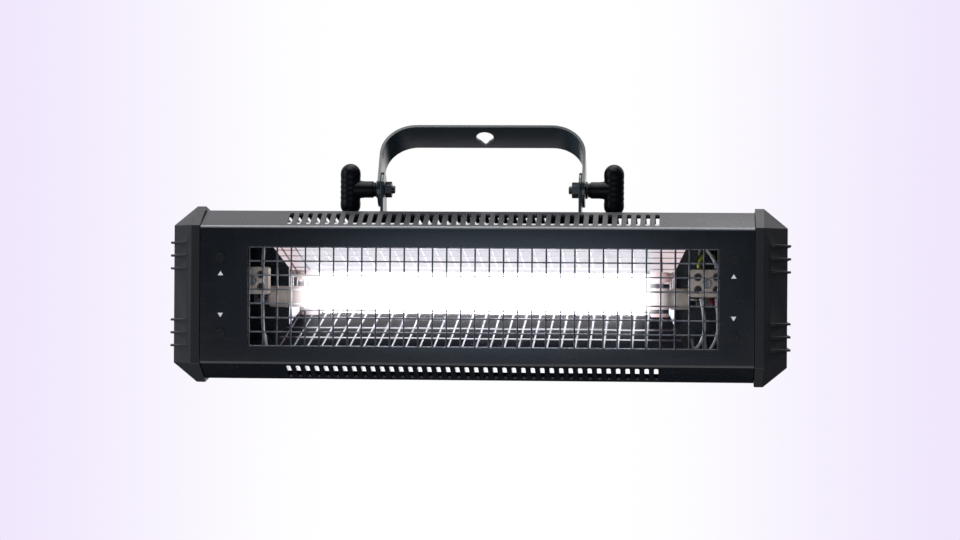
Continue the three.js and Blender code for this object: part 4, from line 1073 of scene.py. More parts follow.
@dataclass(frozen=True)
class SmoothPlastic(Finish):
    """Glossier black plastic of knobs, sockets and buttons."""

    slot: str = "black_plastic"
    colour: Colour = (0.0045, 0.0048, 0.0055)
    pale: Colour = (0.012, 0.012, 0.014)
    rough: float = 0.30
    shine: float = 0.5

    def draw(self, shading: Shading) -> Material:
        """See Finish."""
        clouds = shading.noise(5.0, 4.0)
        prints = shading.noise(1.4, 4.0).step(0.5, 0.75)
        fine = shading.noise(0.5, 2.0)
        colour = shading.blend(prints * 0.6, self.colour, self.pale)
        rough = self.rough + (clouds - 0.5) * 0.12 + prints * 0.08
        return shading.surface(colour, rough, shading.relief(fine, 0.015, 0.5), shine=self.shine)


@dataclass(frozen=True)
class CanSleeve(Finish):
    """Shrink sleeve of a capacitor with a pale stripe along its back."""

    slot: str = "capacitor_can"
    colour: Colour = (0.018, 0.045, 0.14)
    dark: Colour = (0.010, 0.024, 0.08)
    stripe: Colour = (0.42, 0.44, 0.47)
    middle: float = 24.0

    def draw(self, shading: Shading) -> Material:
        """See Finish."""
        _, y, z = shading.axes()
        height = abs(z) - self.middle
        band = height.step(-2.6, -2.2) * height.step(2.6, 2.2) * y.step(80.0, 82.0)
        clouds = shading.noise(5.0, 4.0)
        fine = shading.noise(1.0, 3.0)
        sleeve = shading.blend(clouds * 0.4, self.colour, self.dark)
        colour = shading.blend(band, sleeve, self.stripe)
        return shading.surface(colour, 0.28 + clouds * 0.15, shading.relief(fine, 0.03, 0.5))


@dataclass(frozen=True)
class CopperWire(Finish):
    """Enamelled copper winding, a little under half a millimetre to a turn."""

    slot: str = "copper_wire"
    colour: Colour = (0.42, 0.15, 0.06)
    dark: Colour = (0.16, 0.05, 0.02)
    turn: float = 0.45

    def draw(self, shading: Shading) -> Material:
        """See Finish."""
        turns = (shading.axes()[1] * (math.tau / self.turn)).sine() * 0.5 + 0.5
        clouds = shading.noise(3.0, 3.0)
        # Painted shade: the colour darkens in the grooves between the turns.
        colour = shading.blend(clouds * 0.5 + (1 - turns) * 0.4, self.colour, self.dark)
        return shading.surface(colour, 0.3 + clouds * 0.15, shading.relief(turns, 0.1, 0.8), 0.7)


@dataclass(frozen=True)
class Laminate(Finish):
    """Green board with faint tracks under its lacquer."""

    slot: str = "laminate"
    colour: Colour = (0.012, 0.085, 0.035)
    track: Colour = (0.030, 0.160, 0.060)

    def draw(self, shading: Shading) -> Material:
        """See Finish."""
        tracks = shading.cells(3.0, "DISTANCE_TO_EDGE").step(0.12, 0.06)
        weave = shading.noise(0.6, 2.0)
        colour = shading.blend(tracks, self.colour, self.track)
        normal = shading.relief(tracks * 0.8 + weave * 0.2, 0.04, 0.6)
        return shading.surface(colour, 0.32 + weave * 0.15, normal)


@dataclass(frozen=True)
class DarkWindow(Finish):
    """Tinted display window."""

    slot: str = "display"
    colour: Colour = (0.018, 0.002, 0.003)
    pale: Colour = (0.03, 0.004, 0.006)

    def draw(self, shading: Shading) -> Material:
        """See Finish."""
        smear = shading.noise(6.0, 4.0).step(0.4, 0.8)
        colour = shading.blend(smear * 0.5, self.colour, self.pale)
        return shading.surface(colour, 0.07 + smear * 0.1, shading.relief(smear, 0.01, 0.4))


@dataclass(frozen=True)
class LitSegment(Finish):
    """A lit bar of the display."""

    slot: str = "display"
    colour: Colour = (1.0, 0.06, 0.03)
    deep: Colour = (0.6, 0.02, 0.01)
    unlit: Quad = (0.3, 0.02, 0.02, 1.0)

    def draw(self, shading: Shading) -> Material:
        """See Finish."""
        glow = shading.blend(shading.noise(0.8, 3.0) * 0.4, self.colour, self.deep)
        return shading.surface(self.unlit, 0.4, glow=glow, lit=1.6)


@dataclass(frozen=True)
class ConnectorShell(Finish):
    """Satin nickel of connector shells and contacts."""

    slot: str = "connector_shell"
    colour: Colour = (0.55, 0.53, 0.50)
    dark: Colour = (0.32, 0.31, 0.30)

    def draw(self, shading: Shading) -> Material:
        """See Finish."""
        wear = shading.noise(2.5, 5.0).step(0.4, 0.75)
        fine = shading.noise(0.4, 2.0)
        colour = shading.blend(wear * 0.6, self.colour, self.dark)
        return shading.surface(colour, 0.25 + wear * 0.15, shading.relief(fine, 0.012, 0.5), 1.0)


@dataclass(frozen=True)
class PrintedMark(Finish):
    """White screen print, thin and a little broken at its grain."""

    colour: Colour = (0.80, 0.80, 0.82)
    thin: Colour = (0.50, 0.50, 0.53)

    def draw(self, shading: Shading) -> Material:
        """See Finish."""
        grain = shading.noise(0.3, 3.0).step(0.55, 0.8)
        colour = shading.blend(grain, self.colour, self.thin)
        return shading.surface(colour, 0.55, shading.relief(grain, 0.01, 0.5))


class Workshop:
    """Makes pieces, dresses them and sets them on their bodies."""

    def __init__(self, frame: Mapping[str, Any]) -> None:
        """Takes the loaded frame.
        """
        self.frame = frame
        self.made: list[str] = []
        self._finishes: dict[Finish, Material] = {}
        self.grid = grid_tree(cuts=False)
        self.perforation = grid_tree(cuts=True)
        self.ring = ring_tree()

    def material(self, finish: Finish) -> Material:
        """The material of a finish, made once.

        Args:
            finish: the finish.

        Returns:
            Its material.
        """
        if finish not in self._finishes:
            name = f"{finish.slot}_{len(self._finishes):02d}"
            self._finishes[finish] = finish.draw(Shading(name))
        return self._finishes[finish]

    def dress_node(self, finish: Finish, *nodes: str) -> None:
        """Gives CAD nodes a finish.

        Args:
            finish: the finish.
            nodes: the nodes' names.
        """
        for name in nodes:
            for slot in self.frame["nodes"][name].material_slots:
                slot.material = self.material(finish)

    def piece(
        self, name: str, source: Form | Mesh, finish: Finish, body: str = "housing",
        replaces: Sequence[str] = (), edge: float = 0.0, segments: int = 2, smooth: float = 35.0,
    ) -> bpy.types.Object:
        """Makes a piece and sets it on its body.

        Args:
            name: the piece's name.
            source: a form, or a mesh already in the frame.
            finish: its finish.
            body: the body it rides on.
            replaces: the CAD nodes it stands for.
            edge: edge radius in millimetres, 0 for none.
            segments: facets to an edge.
            smooth: edges flatter than this many degrees are shaded smooth.

        Returns:
            The piece.
        """
        mesh = source.to_mesh(name) if isinstance(source, Form) else source
        mesh.name = name
        mesh.materials.clear()
        mesh.materials.append(self.material(finish))
        mesh.shade_smooth()
        mesh.set_sharp_from_angle(angle=math.radians(smooth))
        made = linked(name, mesh)
        if edge > 0:
            bevel = made.modifiers.new("edges", "BEVEL")
            bevel.width = edge * MM
            bevel.segments = segments
            bevel.limit_method = "ANGLE"
            bevel.angle_limit = math.radians(smooth)
            bevel.miter_outer = "MITER_ARC"
        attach(made, body)
        if replaces:
            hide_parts(*replaces)
        self.made.append(name)
        LOG.info("piece %s on %s, %d faces", name, body, len(mesh.polygons))
        return made

    def copied(self, node: str) -> Mesh:
        """A merged copy of a CAD node's mesh."""
        return cleaned(self.frame["nodes"][node].data, bpy.data.meshes.new(node))

    def softened(self, node: str, finish: Finish, edge: float, **options: Any) -> bpy.types.Object:
        """Replaces a CAD node by its copy with broken edges."""
        return self.piece(f"{node}_shape", self.copied(node), finish, replaces=(node,), edge=edge, **options)

    def evaluated(self, base: Mesh, tree: Tree, inputs: Mapping[str, Any]) -> Mesh:
        """Runs a Geometry Nodes tree on a mesh.

        Args:
            base: the mesh it starts from.
            tree: the tree.
            inputs: its inputs by name.

        Returns:
            The result as a plain mesh.
        """
        carrier = linked("pattern", base)
        modifier = carrier.modifiers.new("pattern", "NODES")
        modifier.node_group = tree
        for item in tree.interface.items_tree:
            if item.in_out == "INPUT" and item.name in inputs:
                modifier[item.identifier] = inputs[item.name]
        return taken_from(carrier)

    def copies(
        self, element: Form, finish: Finish, tree: Tree, inputs: Mapping[str, Any], base: Mesh | None = None
    ) -> Mesh:
        """Runs a tree that repeats a form.

        Args:
            element: the form, about the origin.
            finish: the result's finish.
            tree: the tree.
            inputs: its inputs by name, apart from Element and Material.
            base: the mesh it starts from, if not an empty one.

        Returns:
            The result as a mesh in the frame.
        """
        part = linked("element", element.to_mesh("element", framed=False))
        given = {**inputs, "Element": part, "Material": self.material(finish)}
        result = self.evaluated(base or bpy.data.meshes.new("empty"), tree, given)
        bpy.data.objects.remove(part)
        return result

    def repeated(
        self, element: Form, finish: Finish, start: Point, columns: int, column_step: Point, rows: int = 1,
        row_step: Point = (0.0, 0.0, 0.0), cut_from: Mesh | None = None,
    ) -> Mesh:
        """Repeats a form over rows and columns, as solids or as cuts.

        Args:
            element: the form, about the origin.
            finish: the result's finish.
            start: the first one's place.
            columns: how many in a row.
            column_step: from one to the next.
            rows: how many rows.
            row_step: from one row to the next.
            cut_from: the mesh to cut, if it is a cut.

        Returns:
            The result as a mesh in the frame.
        """
        inputs = {
            "Columns": columns, "ColumnStep": tuple(Vector(column_step) * MM), "Rows": rows,
            "RowStep": tuple(Vector(row_step) * MM), "Start": tuple(place(start)),
        }
        tree = self.perforation if cut_from else self.grid
        return self.copies(element, finish, tree, inputs, cut_from)

    def four(
        self, element: Form, finish: Finish, corner: Point, across: float, up: float,
        cut_from: Mesh | None = None,
    ) -> Mesh:
        """Repeats a form on the corners of an upright rectangle; see repeated()."""
        return self.repeated(element, finish, corner, 2, (across, 0.0, 0.0), 2, (0.0, 0.0, up), cut_from)

    def ringed(self, element: Form, finish: Finish, centre: Point, count: int) -> Mesh:
        """Repeats a form round an axis along Y."""
        inputs = {"Count": count, "Centre": tuple(place(centre))}
        return self.copies(element, finish, self.ring, inputs)

    def cut(self, mesh: Mesh, cutter: Form, operation: str = "DIFFERENCE") -> Mesh:
        """Cuts one form out of a mesh, or joins it to the mesh.

        Args:
            mesh: the mesh, in the frame.
            cutter: the form, in the case's millimetres.
            operation: the modifier's operation.

        Returns:
            The result.
        """
        carrier, tool = linked("cut", mesh), linked("tool", cutter.to_mesh("tool"))
        modifier = carrier.modifiers.new("cut", "BOOLEAN")
        modifier.operation = operation
        modifier.solver = "EXACT"
        modifier.use_self = True
        modifier.object = tool
        result = taken_from(carrier)
        bpy.data.objects.remove(tool)
        return result


def cleaned(mesh: Mesh, result: Mesh | None = None) -> Mesh:
    """Merges what is double in a mesh and joins its flat faces.

    Args:
        mesh: a mesh in the frame.
        result: where the clean mesh goes, if not back into the same one.

    Returns:
        The clean mesh.
    """
    work = bmesh.new()
    work.from_mesh(mesh)
    bmesh.ops.remove_doubles(work, verts=work.verts, dist=MERGE_WITHIN)
    bmesh.ops.dissolve_limit(work, angle_limit=FLAT_ANGLE, verts=work.verts, edges=work.edges)
    work.to_mesh(result or mesh)
    work.free()
    return result or mesh


def taken_from(carrier: bpy.types.Object) -> Mesh:
    """Turns what an object's modifiers make into a plain mesh and removes the object.

    Args:
        carrier: the object.

    Returns:
        The mesh.
    """
    carrier.update_tag()
    depsgraph = bpy.context.evaluated_depsgraph_get()
    result = bpy.data.meshes.new_from_object(carrier.evaluated_get(depsgraph))
    carrier.modifiers.clear()
    bpy.data.objects.remove(carrier)
    return result


PAINT = PaintedSheet()
YOKE_PAINT = PaintedSheet(rough=0.21, colour=(0.013, 0.021, 0.025), worn=(0.022, 0.030, 0.034))
MOULD = MouldedPlastic()
WIRE = PlatedWire()
POLISHED = PolishedSheet()
ZINC = ZincSheet()
BLACK_STEEL = BlackenedSteel()
CERAMIC = Ceramic()
NUT_STEEL = BlackenedSteel(colour=(0.09, 0.09, 0.10), bare=(0.30, 0.30, 0.31), rough=0.16)
PLASTIC = SmoothPlastic()
KNOB = SmoothPlastic(colour=(0.0016, 0.0026, 0.0040), pale=(0.0025, 0.0040, 0.0060), rough=0.34, shine=0.16)
CONTACT = ConnectorShell()


@dataclass
class SubAssembly:
    """A sub-assembly and the workshop that makes it."""

    shop: Workshop


@dataclass
class Case(SubAssembly):
    """Front cover and rear shell: two folded sheets with rows of slots."""

    half_length: float = 195.0
    front_half: float = 48.3
    ridge_half: float = 60.0
    ridge_depth: float = 25.5
    depth: float = 105.0
    sheet: float = 1.5
    fold: float = 2.0
    gap: float = 0.3
    window: Quad = (-161.0, 170.3, -36.2, 33.8)
    slot_count: int = 40
    slot_first: float = -132.5
    slot_pitch: float = 6.65
    slot_width: float = 3.0
    slot_length: float = 19.6
    slot_from_fold: float = 4.3
    roof_groups: tuple[tuple[int, int], ...] = ((-1, 5), (13, 27), (35, 39))
    roof_depth: float = 43.0
    roof_length: float = 38.0
    vents: tuple[int, int] = (5, 2)
    vent_depth: float = 66.0
    vent_width: float = 11.0
    vent_web: float = 3.0
    vent_length: float = 49.0
    vent_pitch: float = 54.0
    screw_x: float = 180.5
    screw_top: float = 26.3
    screw_bottom: float = -27.4
    shell_screw: Pair = (186.5, 34.0)
    arrows: tuple[Pair, ...] = ((15.0, 1.0), (-14.5, -1.0))

    def half_at(self, depth: float) -> float:
        """Half height of the case.

        Args:
            depth: how far behind the front face.

        Returns:
            The half height there.
        """
        if depth <= self.ridge_depth:
            share = depth / self.ridge_depth
            return self.front_half + (self.ridge_half - self.front_half) * share
        share = (depth - self.ridge_depth) / (self.depth - self.ridge_depth)
        return self.ridge_half + (self.front_half - self.ridge_half) * share

    @property
    def chamfer_angle(self) -> float:
        """Slope of the front chamfers."""
        return math.atan2(self.ridge_half - self.front_half, self.ridge_depth)

    @property
    def roof_angle(self) -> float:
        """Slope of the roof."""
        return math.atan2(self.ridge_half - self.front_half, self.depth - self.ridge_depth)

    def cutter(self, outline: Outline, angle: float, side: int) -> Form:
        """A cutter through a sloping sheet."""
        return Form().prism(outline, -4.0, 4.0, Axis.Z).moved(Matrix.Rotation(side * angle, 4, "X"))

    def build(self) -> None:
        """Makes the cover, the shell and the cover's screws and arrows."""
        self._cover()
        self._shell()
        self._marks()

    def _cover(self) -> None:
        """Makes the front cover."""
        path = [
            (self.ridge_depth, self.ridge_half), (0.0, self.front_half), (0.0, -self.front_half),
            (self.ridge_depth, -self.ridge_half),
        ]
        section = folded_section(path, self.sheet, self.fold)
        mesh = Form().prism(section, -self.half_length, self.half_length, Axis.X).to_mesh("cover")
        left, right, low, high = self.window
        cutter = Form().prism(
            round_rectangle((left + right) / 2, (low + high) / 2, right - left, high - low, 0.8, 3),
            -3.0, 4.0, Axis.Y,
        )
        for x in (-self.screw_x, self.screw_x):
            for z in (self.screw_top, self.screw_bottom):
                cutter.prism(circle(x, z, 2.3, 24), -3.0, 4.0, Axis.Y)
        mesh = self.shop.cut(mesh, cutter)
        middle = (self.slot_from_fold + self.slot_length / 2) * math.cos(self.chamfer_angle)
        for side in (1, -1):
            mesh = self.shop.repeated(
                self.cutter(slot_outline(self.slot_width, self.slot_length), self.chamfer_angle, side), PAINT,
                (self.slot_first, middle, side * self.half_at(middle)), self.slot_count,
                (self.slot_pitch, 0.0, 0.0), cut_from=mesh,
            )
        self.shop.piece(
            "cover_sheet", cleaned(mesh), PAINT, replaces=("front_cover",), edge=0.22, smooth=25.0
        )

    def _shell(self) -> None:
        """Makes the rear shell with its slots, vents and back openings."""
        start = self.ridge_depth + self.gap
        edge = self.half_at(start)
        path = [(start, -edge), (self.depth, -self.front_half), (self.depth, self.front_half), (start, edge)]
        section = folded_section(path, self.sheet, self.fold)
        mesh = Form().prism(section, -self.half_length, self.half_length, Axis.X).to_mesh("shell")
        mesh = self.shop.cut(mesh, BackPanel(self.shop).openings(self.depth))
        middle = self.roof_depth + self.roof_length / 2 * math.cos(self.roof_angle)
        for first, last in self.roof_groups:
            mesh = self.shop.repeated(
                self.cutter(slot_outline(self.slot_width, self.roof_length), -self.roof_angle, 1), PAINT,
                (self.slot_first + first * self.slot_pitch, middle, self.half_at(middle)), last - first + 1,
                (self.slot_pitch, 0.0, 0.0), cut_from=mesh,
            )
        along = self.vent_depth + self.vent_width / 2 * math.cos(self.roof_angle)
        step = (self.vent_width + self.vent_web) * math.cos(self.roof_angle)
        columns, rows = self.vents
        centre = self.slot_first + self.slot_pitch * (self.slot_count - 1) / 2
        vent = [(b, a) for a, b in slot_outline(self.vent_width, self.vent_length, 12)]
        mesh = self.shop.repeated(
            self.cutter(vent, -self.roof_angle, -1), PAINT,
            (centre - (columns - 1) / 2 * self.vent_pitch, along, -self.half_at(along)), columns,
            (self.vent_pitch, 0.0, 0.0), rows, (0.0, step, self.half_at(along) - self.half_at(along + step)),
            cut_from=mesh,
        )
        self.shop.piece("shell_sheet", cleaned(mesh), PAINT, replaces=("rear_shell",), edge=0.22, smooth=25.0)
        corner = (-self.shell_screw[0], self.depth + 1.8, -self.shell_screw[1])
        steps = (2 * self.shell_screw[0], 2 * self.shell_screw[1])
        screws = self.shop.four(screw_head(3.4, 1.8), BLACK_STEEL, corner, *steps)
        self.shop.piece("shell_screws", screws, BLACK_STEEL)

    def _marks(self) -> None:
        """Makes the cover's screws and its plain arrows."""
        head = screw_head(3.6, 2.0, shank=1.9, length=7.0, back=-1.0)
        corner = (-self.screw_x, -self.gap - 2.0, self.screw_bottom)
        rise = self.screw_top - self.screw_bottom
        screws = self.shop.four(head, BLACK_STEEL, corner, 2 * self.screw_x, rise)
        names = [f"cover_screw_{level}_{side}" for level in ("upper", "lower") for side in ("left", "right")]
        self.shop.piece("cover_screws", screws, BLACK_STEEL, replaces=names)
        marks = Form()
        for x in (-self.screw_x + 0.1, self.screw_x - 0.1):
            for z, sign in self.arrows:
                outline = [(x - 1.9, z - sign * 1.5), (x + 1.9, z - sign * 1.5), (x, z + sign * 1.6)]
                marks.prism(outline, -0.06, -0.01, Axis.Y)
        self.shop.piece("arrow_marks", marks, PrintedMark())


def screw_head(
    radius: float, height: float, shank: float = 0.0, length: float = 0.0, back: float = 1.0
) -> Form:
    """A domed head with a cross recess, its top at the origin.

    Args:
        radius: head radius.
        height: head height.
        shank: shank radius, 0 for none.
        length: shank length.
        back: 1 if the head looks to the back, -1 if it looks to the front.

    Returns:
        The form, turned along Y.
    """
    form = Form()
    recess, arm = radius * 0.62, radius * 0.17
    outline = circle(0.0, 0.0, radius, 24)
    cross = [
        (arm, arm), (recess, arm), (recess, -arm), (arm, -arm), (arm, -recess), (-arm, -recess),
        (-arm, -arm), (-recess, -arm), (-recess, arm), (-arm, arm), (-arm, recess), (arm, recess),
    ]
    rim = circle(0.0, 0.0, radius * 0.82, 24)
    form.prism(rim, 0.0, height * 0.35, Axis.Y, [cross])
    form.prism(outline, height * 0.3, height, Axis.Y)
    if shank > 0:
        form.prism(circle(0.0, 0.0, shank, 12), height, height + length, Axis.Y)
    return form.moved(Matrix.Diagonal((1.0, -back, 1.0, 1.0)))


@dataclass
class EndCap(SubAssembly):
    """Moulded end cap with its rim, bevels and wrapped ribs."""

    edge: float = 0.7

    def build(self) -> None:
        """Makes both caps."""
        for side in Side:
            self.shop.softened(f"end_cap_{side.word}", MOULD, self.edge, smooth=24.0, segments=3)


@dataclass
class Grille(SubAssembly):
    """Welded mesh behind the window."""

    uprights: int = 34
    levels: int = 8
    pitch: float = 10.0
    wire: float = 1.2
    first_x: float = -160.35
    first_z: float = -36.2
    overhang: float = 4.0
    upright_depth: float = 2.5
    level_depth: float = 3.4

    def build(self) -> None:
        """Makes the mesh."""
        reach = self.overhang
        inputs = {
            "Uprights": self.uprights, "Levels": self.levels, "Pitch": self.pitch * MM,
            "Wire": self.wire / 2 * MM, "Height": ((self.levels - 1) * self.pitch + 2 * reach) * MM,
            "Width": ((self.uprights - 1) * self.pitch + 2 * reach) * MM,
            "UprightCorner": tuple(place((self.first_x, self.upright_depth, self.first_z - reach))),
            "LevelCorner": tuple(place((self.first_x - reach, self.level_depth, self.first_z))),
            "WeldSize": (0.9 * MM, 0.62 * MM, 0.9 * MM), "Sides": 10, "Material": self.shop.material(WIRE),
        }
        mesh = self.shop.evaluated(bpy.data.meshes.new("empty"), wire_mesh_tree(), inputs)
        self._face_outwards(mesh)
        self.shop.piece("wire_mesh", mesh, WIRE, replaces=("grille",), smooth=50.0)

    @staticmethod
    def _face_outwards(mesh: Mesh) -> None:
        """Makes the mesh's faces point outwards.

        Args:
            mesh: the mesh.
        """
        work = bmesh.new()
        work.from_mesh(mesh)
        bmesh.ops.recalc_face_normals(work, faces=work.faces)
        work.to_mesh(mesh)
        work.free()


@dataclass
class LampHouse(SubAssembly):
    """Trough, cheeks, tube, bases, clips, terminal blocks and leads."""

    axis_z: float = TUBE_Z
    mouth_depth: float = 6.5
    mouth_half: float = 37.5
    back_half: float = 11.2
    back_depth: float = 61.7
    mouth_x: Pair = (-146.5, 149.0)
    back_x: Pair = (-134.0, 136.0)
    cheek_sheet: float = 1.0
    cheek_front: float = 42.0
    notch: float = 14.0
    lamp_depth: float = 30.0
    lamp_radius: float = 5.0
    lamp_half: float = 121.0
    base_length: float = 29.0
    base_radius: float = 7.5
    neck_radius: float = 6.4
    collar: float = 13.5
    groove: float = 2.0
    block_x: Pair = (-160.3, 162.3)
    block_z: float = 10.0
    block_front: float = 11.5
    block_size: Triple = (24.4, 10.7, 19.4)
    pole: Pair = (6.6, 4.4)
    pole_hole: float = 2.8
    screw_hole: float = 3.5
    lead_radius: float = 1.15
    routes: dict[str, list[Triple]] = field(
        default_factory=lambda: {
            "lead_left_lower": [
                (-153.4, 16.85, -0.5), (-153.2, 18, -9), (-152.9, 20, -24), (-151.9, 27, -36),
                (-154, 44, -39), (-158, 61.2, -30),
            ],
            "lead_left_upper": [
                (-153.2, 16.85, 20.5), (-152.8, 18, 28), (-153.4, 24, 36), (-156, 42, 38), (-160, 61.2, 30),
            ],
            "brown_lead": [
                (-163.9, 16.85, -0.5), (-164.4, 18, -8), (-165.6, 25, -16), (-169, 42, -22),
                (-171, 61.2, -20),
            ],
            "lead_right_outer": [
                (168.4, 16.85, -0.5), (169.6, 18, -12), (169.4, 21, -26), (165, 28, -36), (162, 44, -37),
                (161, 61.2, -28),
            ],
            "lead_right_inner": [
                (157.6, 16.85, -0.5), (159.6, 18, -11), (160.2, 20, -23), (157.2, 27, -33), (153.4, 44, -36),
                (152, 61.2, -30),
            ],
            "lead_right_upper": [
                (168.4, 16.85, 20.5), (167.4, 18, 25), (162.4, 23, 33), (158, 40, 37), (156.5, 61.2, 31),
            ],
            "red_lead": [
                (164, 16.85, -0.5), (166.8, 20, -4), (173, 27, -7.5), (176, 42, -13), (174, 61.2, -15),
            ],
            "earth_lead": [
                (156.2, 16.85, 20.5), (156, 18, 23.5), (160, 26, 30), (166, 42, 32), (168, 61.2, 27),
            ],
        }
    )

    def build(self) -> None:
        """Makes the lamp house."""
        self.shop.dress_node(POLISHED, "reflector")
        for index, side in enumerate(Side):
            self._cheek(side, index)
            self._base(side)
            self.shop.softened(f"lamp_clip_{side.word}", ZINC, 0.2)
            self._block(side, self.block_x[index])
        self._tube()
        self._leads()

    def _cheek(self, side: Side, index: int) -> None:
        """Makes one cheek of the trough.

        Args:
            side: which end.
            index: its place in the tuples.
        """
        share = (self.cheek_front - self.mouth_depth) / (self.back_depth - self.mouth_depth)
        front_half = self.mouth_half + (self.back_half - self.mouth_half) * share
        half_arc = math.acos((self.cheek_front - self.lamp_depth) / self.notch) / math.tau
        outline = [
            (self.cheek_front, self.axis_z - front_half), (self.back_depth, self.axis_z - self.back_half),
            (self.back_depth, self.axis_z + self.back_half), (self.cheek_front, self.axis_z + front_half),
            *arc(self.lamp_depth, self.axis_z, self.notch, half_arc, -half_arc, 16),
        ]
        flat = Form().prism(outline, -self.cheek_sheet, 0.0, Axis.X)
        lean = (self.back_x[index] - self.mouth_x[index]) / (self.back_depth - self.mouth_depth)
        shift = self.mouth_x[index] - lean * self.mouth_depth
        shift += self.cheek_sheet if side is Side.LEFT else 0.0
        slant = Matrix(((1, lean, 0, shift), (0, 1, 0, 0), (0, 0, 1, 0), (0, 0, 0, 1)))
        name = f"reflector_cheek_{side.word}"
        self.shop.piece(f"{name}_shape", flat.moved(slant), POLISHED, replaces=(name,), edge=0.2)

    def _tube(self) -> None:
        """Makes the tube with its drawn-down ends."""
        half, radius = self.lamp_half, self.lamp_radius
        ends = [(0.0, 0.0), (radius * 0.55, 0.15), (radius * 0.86, 1.4), (radius, 4.0)]
        profile = [(r, -half + a) for r, a in ends] + [(radius, 0.0)] + [(r, half - a) for r, a in ends[::-1]]
        tube = Form().lathe(profile, (0.0, self.lamp_depth, self.axis_z), Axis.X, 32)
        self.shop.piece("flash_tube", tube, FlashTube(), replaces=("lamp_tube",), smooth=60.0)

    def _base(self, side: Side) -> None:
        """Makes a ceramic lamp base and its pin.

        Args:
            side: which end.
        """
        start = self.lamp_half + 0.3
        end = start + self.base_length
        wide, neck = self.base_radius, self.neck_radius
        near, far = start + self.collar, start + self.collar + self.groove
        ceramic = [
            (0.0, start), (neck - 0.3, start), (neck, start + 0.15), (wide - 0.25, start + 0.9),
            (wide, start + 1.4), (wide, near - 0.4), (wide - 0.3, near), (neck, near), (neck, far),
            (wide - 0.3, far), (wide, far + 0.4), (wide, end - 1.4), (wide - 0.25, end - 0.9),
            (neck, end - 0.1), (neck - 0.2, end), (0.0, end),
        ]
        pin = [(0.0, end - 0.5), (1.5, end - 0.5), (1.5, end + 7.4), (1.0, end + 8.0), (0.0, end + 8.0)]
        centre = (0.0, self.lamp_depth, self.axis_z)
        for name, profile, finish, replaced in (
            ("lamp_base", ceramic, LampCeramic(), True), ("lamp_pin", pin, CONTACT, False)
        ):
            form = Form().lathe(mirrored(profile, side.value), centre, Axis.X, 40)
            target = (f"lamp_base_{side.word}",) if replaced else ()
            self.shop.piece(f"{name}_{side.word}_shape", form, finish, replaces=target, smooth=40.0)

    def _block(self, side: Side, x: float) -> None:
        """Makes a terminal block with its sunk screws.

        Args:
            side: which end.
            x: its middle.
        """
        width, deep, high = self.block_size
        front, z = self.block_front, self.block_z
        brick = Form().prism(
            round_rectangle(x, z, width, high, 1.5, 5), front, front + deep, Axis.Y
        ).to_mesh("block")
        pole_x, pole_z = self.pole
        hole = Form().prism(circle(0.0, 0.0, self.pole_hole, 24), -3.0, 4.0, Axis.Y)
        mesh = self.shop.four(hole, CERAMIC, (x - pole_x, front, z - pole_z), 2 * pole_x, 2 * pole_z, brick)
        groove = Form().prism(circle(x, z, self.screw_hole, 28), front - 2.0, front + 2.4, Axis.Y)
        groove.prism(rectangle(x - 0.4, x + 0.4, z - high, z + high), front - 2.0, front + 0.6, Axis.Y)
        mesh = cleaned(self.shop.cut(mesh, groove))
        name = f"terminal_block_{side.word}"
        self.shop.piece(f"{name}_shape", mesh, CERAMIC, replaces=(name,), edge=0.35, smooth=30.0)
        corner = (x - pole_x, front + 2.4, z - pole_z)
        screws = self.shop.four(screw_head(2.1, 1.4, back=-1.0), NUT_STEEL, corner, 2 * pole_x, 2 * pole_z)
        self.shop.piece(f"pole_screws_{side.word}", screws, NUT_STEEL)
        centre = screw_head(2.7, 1.4, back=-1.0).moved(Matrix.Translation((x, front + 0.9, z)))
        self.shop.piece(f"block_screw_{side.word}", centre, CONTACT)

    def _leads(self) -> None:
        """Makes the leads as smooth round wires."""
        finishes = {
            "brown_lead": Insulation(
                slot="brown_lead", colour=(0.13, 0.055, 0.028), soiled=(0.07, 0.03, 0.018)
            ),
            "red_lead": Insulation(slot="red_lead", colour=(0.22, 0.012, 0.02), soiled=(0.12, 0.008, 0.012)),
            "earth_lead": Insulation(slot="earth_lead", colour=(0.38, 0.42, 0.02), soiled=(0.10, 0.22, 0.02)),
        }
        for name, route in self.routes.items():
            form = Form().pipe(smooth_route(route, 10), self.lead_radius, 14)
            finish = finishes.get(name, Insulation(weave=0.9))
            self.shop.piece(f"{name}_shape", form, finish, replaces=(name,), smooth=60.0)


def smooth_route(points: Sequence[Point], steps: int) -> list[Vector]:
    """A smooth line through points.

    Args:
        points: what it passes through.
        steps: pieces between two points.

    Returns:
        The line's points.
    """
    line = [Vector(point) for point in points]
    ends = [line[0] * 2 - line[1], *line, line[-1] * 2 - line[-2]]
    result = []
    for a, b, c, d in zip(ends, ends[1:], ends[2:], ends[3:]):
        knots = [0.0]
        for first, second in ((a, b), (b, c), (c, d)):
            knots.append(knots[-1] + max((second - first).length, 1e-6) ** 0.5)
        for step in range(steps):
            t = knots[1] + (knots[2] - knots[1]) * step / steps
            one = (a * (knots[1] - t) + b * (t - knots[0])) / (knots[1] - knots[0])
            two = (b * (knots[2] - t) + c * (t - knots[1])) / (knots[2] - knots[1])
            three = (c * (knots[3] - t) + d * (t - knots[2])) / (knots[3] - knots[2])
            left = (one * (knots[2] - t) + two * (t - knots[0])) / (knots[2] - knots[0])
            right = (two * (knots[3] - t) + three * (t - knots[1])) / (knots[3] - knots[1])
            result.append((left * (knots[2] - t) + right * (t - knots[1])) / (knots[2] - knots[1]))
    result.append(line[-1])
    return result


